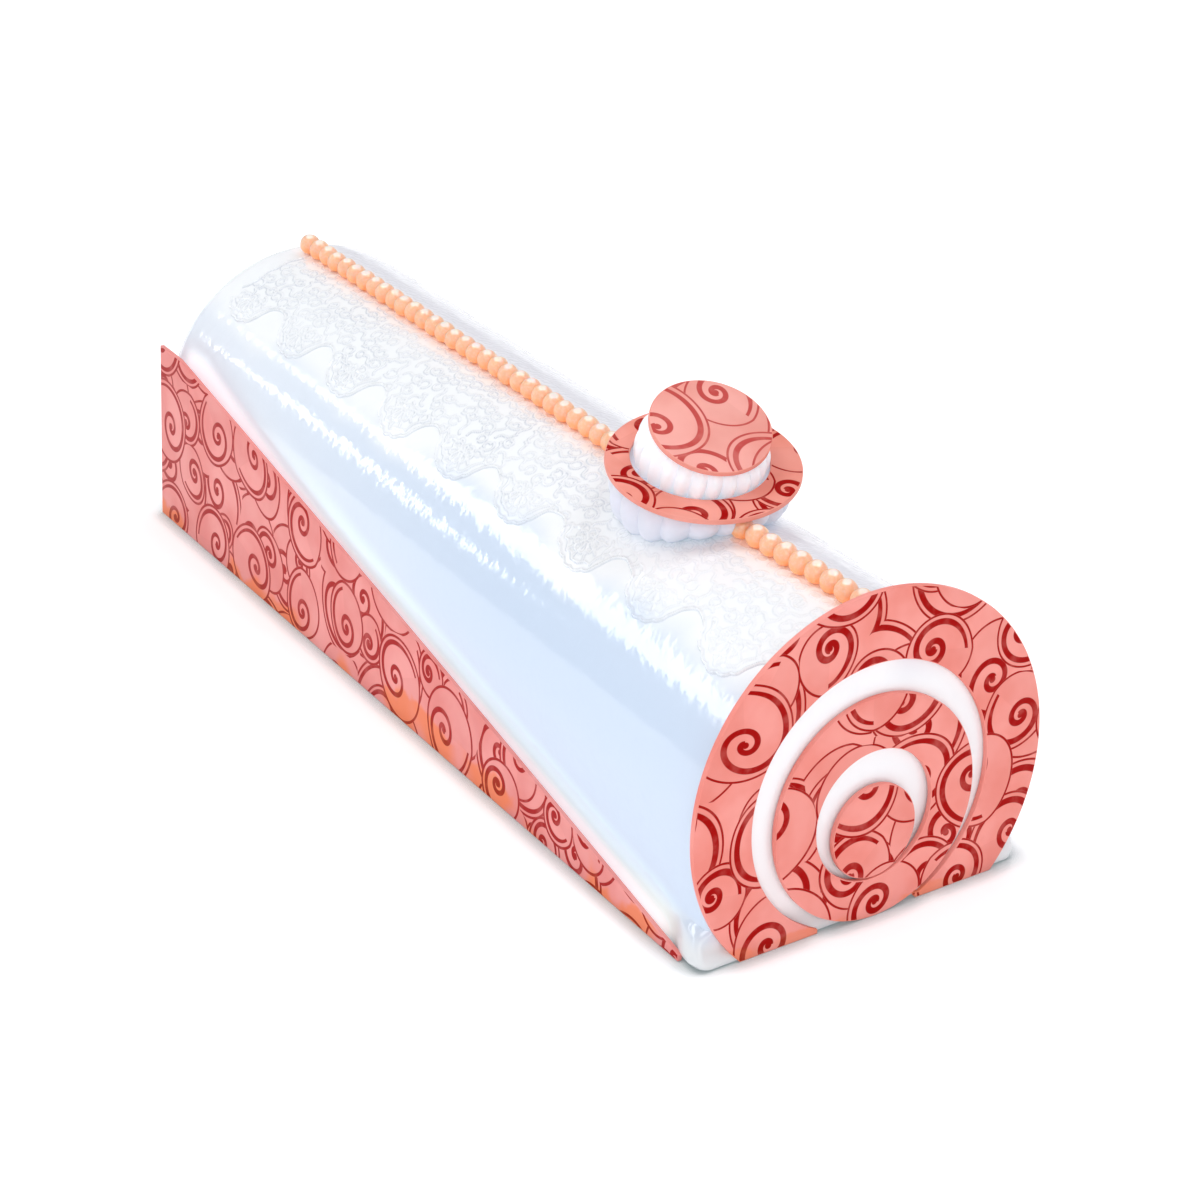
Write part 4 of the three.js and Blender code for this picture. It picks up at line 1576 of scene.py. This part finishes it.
class CAKE_OT_topper(bpy.types.Operator):
    """Models the two piped rosettes, the ring between them and the disc on top"""

    bl_idname = "cake.topper"
    bl_label = "Topper"

    def execute(self, context):
        scene = context.scene
        plates, cream = scene.cake_plates, scene.cake_cream
        plan = LogPlan(scene)
        half = plates.topper_thickness / 2
        clearance = half + 0.05 * MM
        ring_at, ring_radius = self.middle_of("topper_ring")
        disc_at, disc_radius = self.middle_of("topper_disc")
        ring_plane = self.plane(ring_at, plates.ring_tilt, plates.roll)
        disc_plane = self.plane(disc_at, plates.disc_tilt, plates.roll)

        ring = round_plate(ring_radius, (0, 0), plates.topper_hole, (-plates.topper_hole_shift, 0))
        disc = round_plate(disc_radius)
        for piece, name, node, printed, at, tilt in (
            (ring, "topper_ring_plate", "topper_ring", "topper_print", ring_at, plates.ring_tilt),
            (disc, "topper_disc_plate", "topper_disc", "disc_print", disc_at, plates.disc_tilt),
        ):
            activate(piece)
            turn = Matrix.Rotation(plates.roll, 4, "X") @ Matrix.Rotation(tilt, 4, "Y")
            matrix = Matrix.Translation(at) @ turn @ Matrix.Translation((0, 0, half))
            materials = finishes("topper_plain", printed)
            finish_plate(piece, name, node, materials, plates.topper_thickness, plates.edge, matrix)

        low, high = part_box("cream_lower")
        middle_x = (low.x + high.x) / 2
        lower = model_rosette(
            radii=(18.6, 20.6, 21.7, 21.8, 20.9, 19.0),
            flutes=cream.lower_flutes,
            depth=cream.lower_depth,
            twist=cream.lower_twist,
            foot_x=middle_x - 0.6 * MM,
            top_x=middle_x + 1.2 * MM,
            y=ring_at.y,
            foot=lambda x, y: plan.surface(y) - 0.2 * MM,
            top=lambda x, y: ring_plane(x, y) - clearance,
            seed=3,
        )
        finish(lower, "cream_lower_rosette", ["cream_lower"], finishes("shaded_cream"), smooth=70)

        centre_x = ring_at.x - plates.topper_hole_shift
        upper = model_rosette(
            radii=(15.9, 16.2, 16.2, 15.9, 15.0, 13.3),
            flutes=cream.upper_flutes,
            depth=cream.upper_depth,
            twist=cream.upper_twist,
            foot_x=centre_x,
            top_x=centre_x + 2.2 * MM,
            y=ring_at.y,
            foot=lambda x, y: ring_plane(x, y) - clearance,
            top=lambda x, y: min(disc_plane(x, y) - clearance, ring_plane(x, y) + cream.upper_height),
            seed=9,
        )
        finish(upper, "cream_upper_rosette", ["cream_upper"], finishes("piped_cream"), smooth=70)
        return {"FINISHED"}

    @staticmethod
    def middle_of(node):
        """The middle of a node's box, and half its width."""
        low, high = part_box(node)
        return (low + high) / 2, (high.y - low.y) / 2

    @staticmethod
    def plane(at, tilt, roll):
        """The height of a tilted plate's middle plane, for x and y."""
        slope_x, slope_y = math.tan(tilt), -math.tan(roll) / math.cos(tilt)
        return lambda x, y: at.z - slope_x * (x - at.x) - slope_y * (y - at.y)


class CAKE_OT_pearls(bpy.types.Operator):
    """Models the string of sugar pearls along the ridge"""

    bl_idname = "cake.pearls"
    bl_label = "Sugar pearls"

    def execute(self, context):
        sizes = context.scene.cake_pearls
        for name, prefix, seed in (("pearls_back", "pearl_back_", 2), ("pearls_front", "pearl_front_", 4)):
            nodes = sorted(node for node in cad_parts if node.startswith(prefix))
            piece = model_pearls(nodes, sizes, seed)
            finish(piece, name, nodes, finishes("sugar_pearl"), smooth=80)
        return {"FINISHED"}


OPERATORS = (
    CAKE_OT_stage,
    CAKE_OT_log,
    CAKE_OT_lace,
    CAKE_OT_strips,
    CAKE_OT_plaque,
    CAKE_OT_topper,
    CAKE_OT_pearls,
)


class CAKE_PT_panel(bpy.types.Panel):
    """Lists the pieces of the cake"""

    bl_idname = "CAKE_PT_panel"
    bl_label = "Yule Log Cake"
    bl_space_type = "VIEW_3D"
    bl_region_type = "UI"
    bl_category = "Cake"

    def draw(self, context):
        for operator in OPERATORS:
            self.layout.operator(operator.bl_idname)


def register():
    for group in SIZE_GROUPS.values():
        bpy.utils.register_class(group)
    for name, group in SIZE_GROUPS.items():
        setattr(bpy.types.Scene, name, bpy.props.PointerProperty(type=group))
    for operator in OPERATORS:
        bpy.utils.register_class(operator)
    bpy.utils.register_class(CAKE_PT_panel)


def unregister():
    bpy.utils.unregister_class(CAKE_PT_panel)
    for operator in reversed(OPERATORS):
        bpy.utils.unregister_class(operator)
    for name in SIZE_GROUPS:
        delattr(bpy.types.Scene, name)
    for group in SIZE_GROUPS.values():
        bpy.utils.unregister_class(group)


def main():
    register()
    bpy.ops.cake.stage()
    bpy.ops.cake.log()
    bpy.ops.cake.lace()
    bpy.ops.cake.strips()
    bpy.ops.cake.plaque()
    bpy.ops.cake.topper()
    bpy.ops.cake.pearls()


if __name__ == "__main__":
    main()
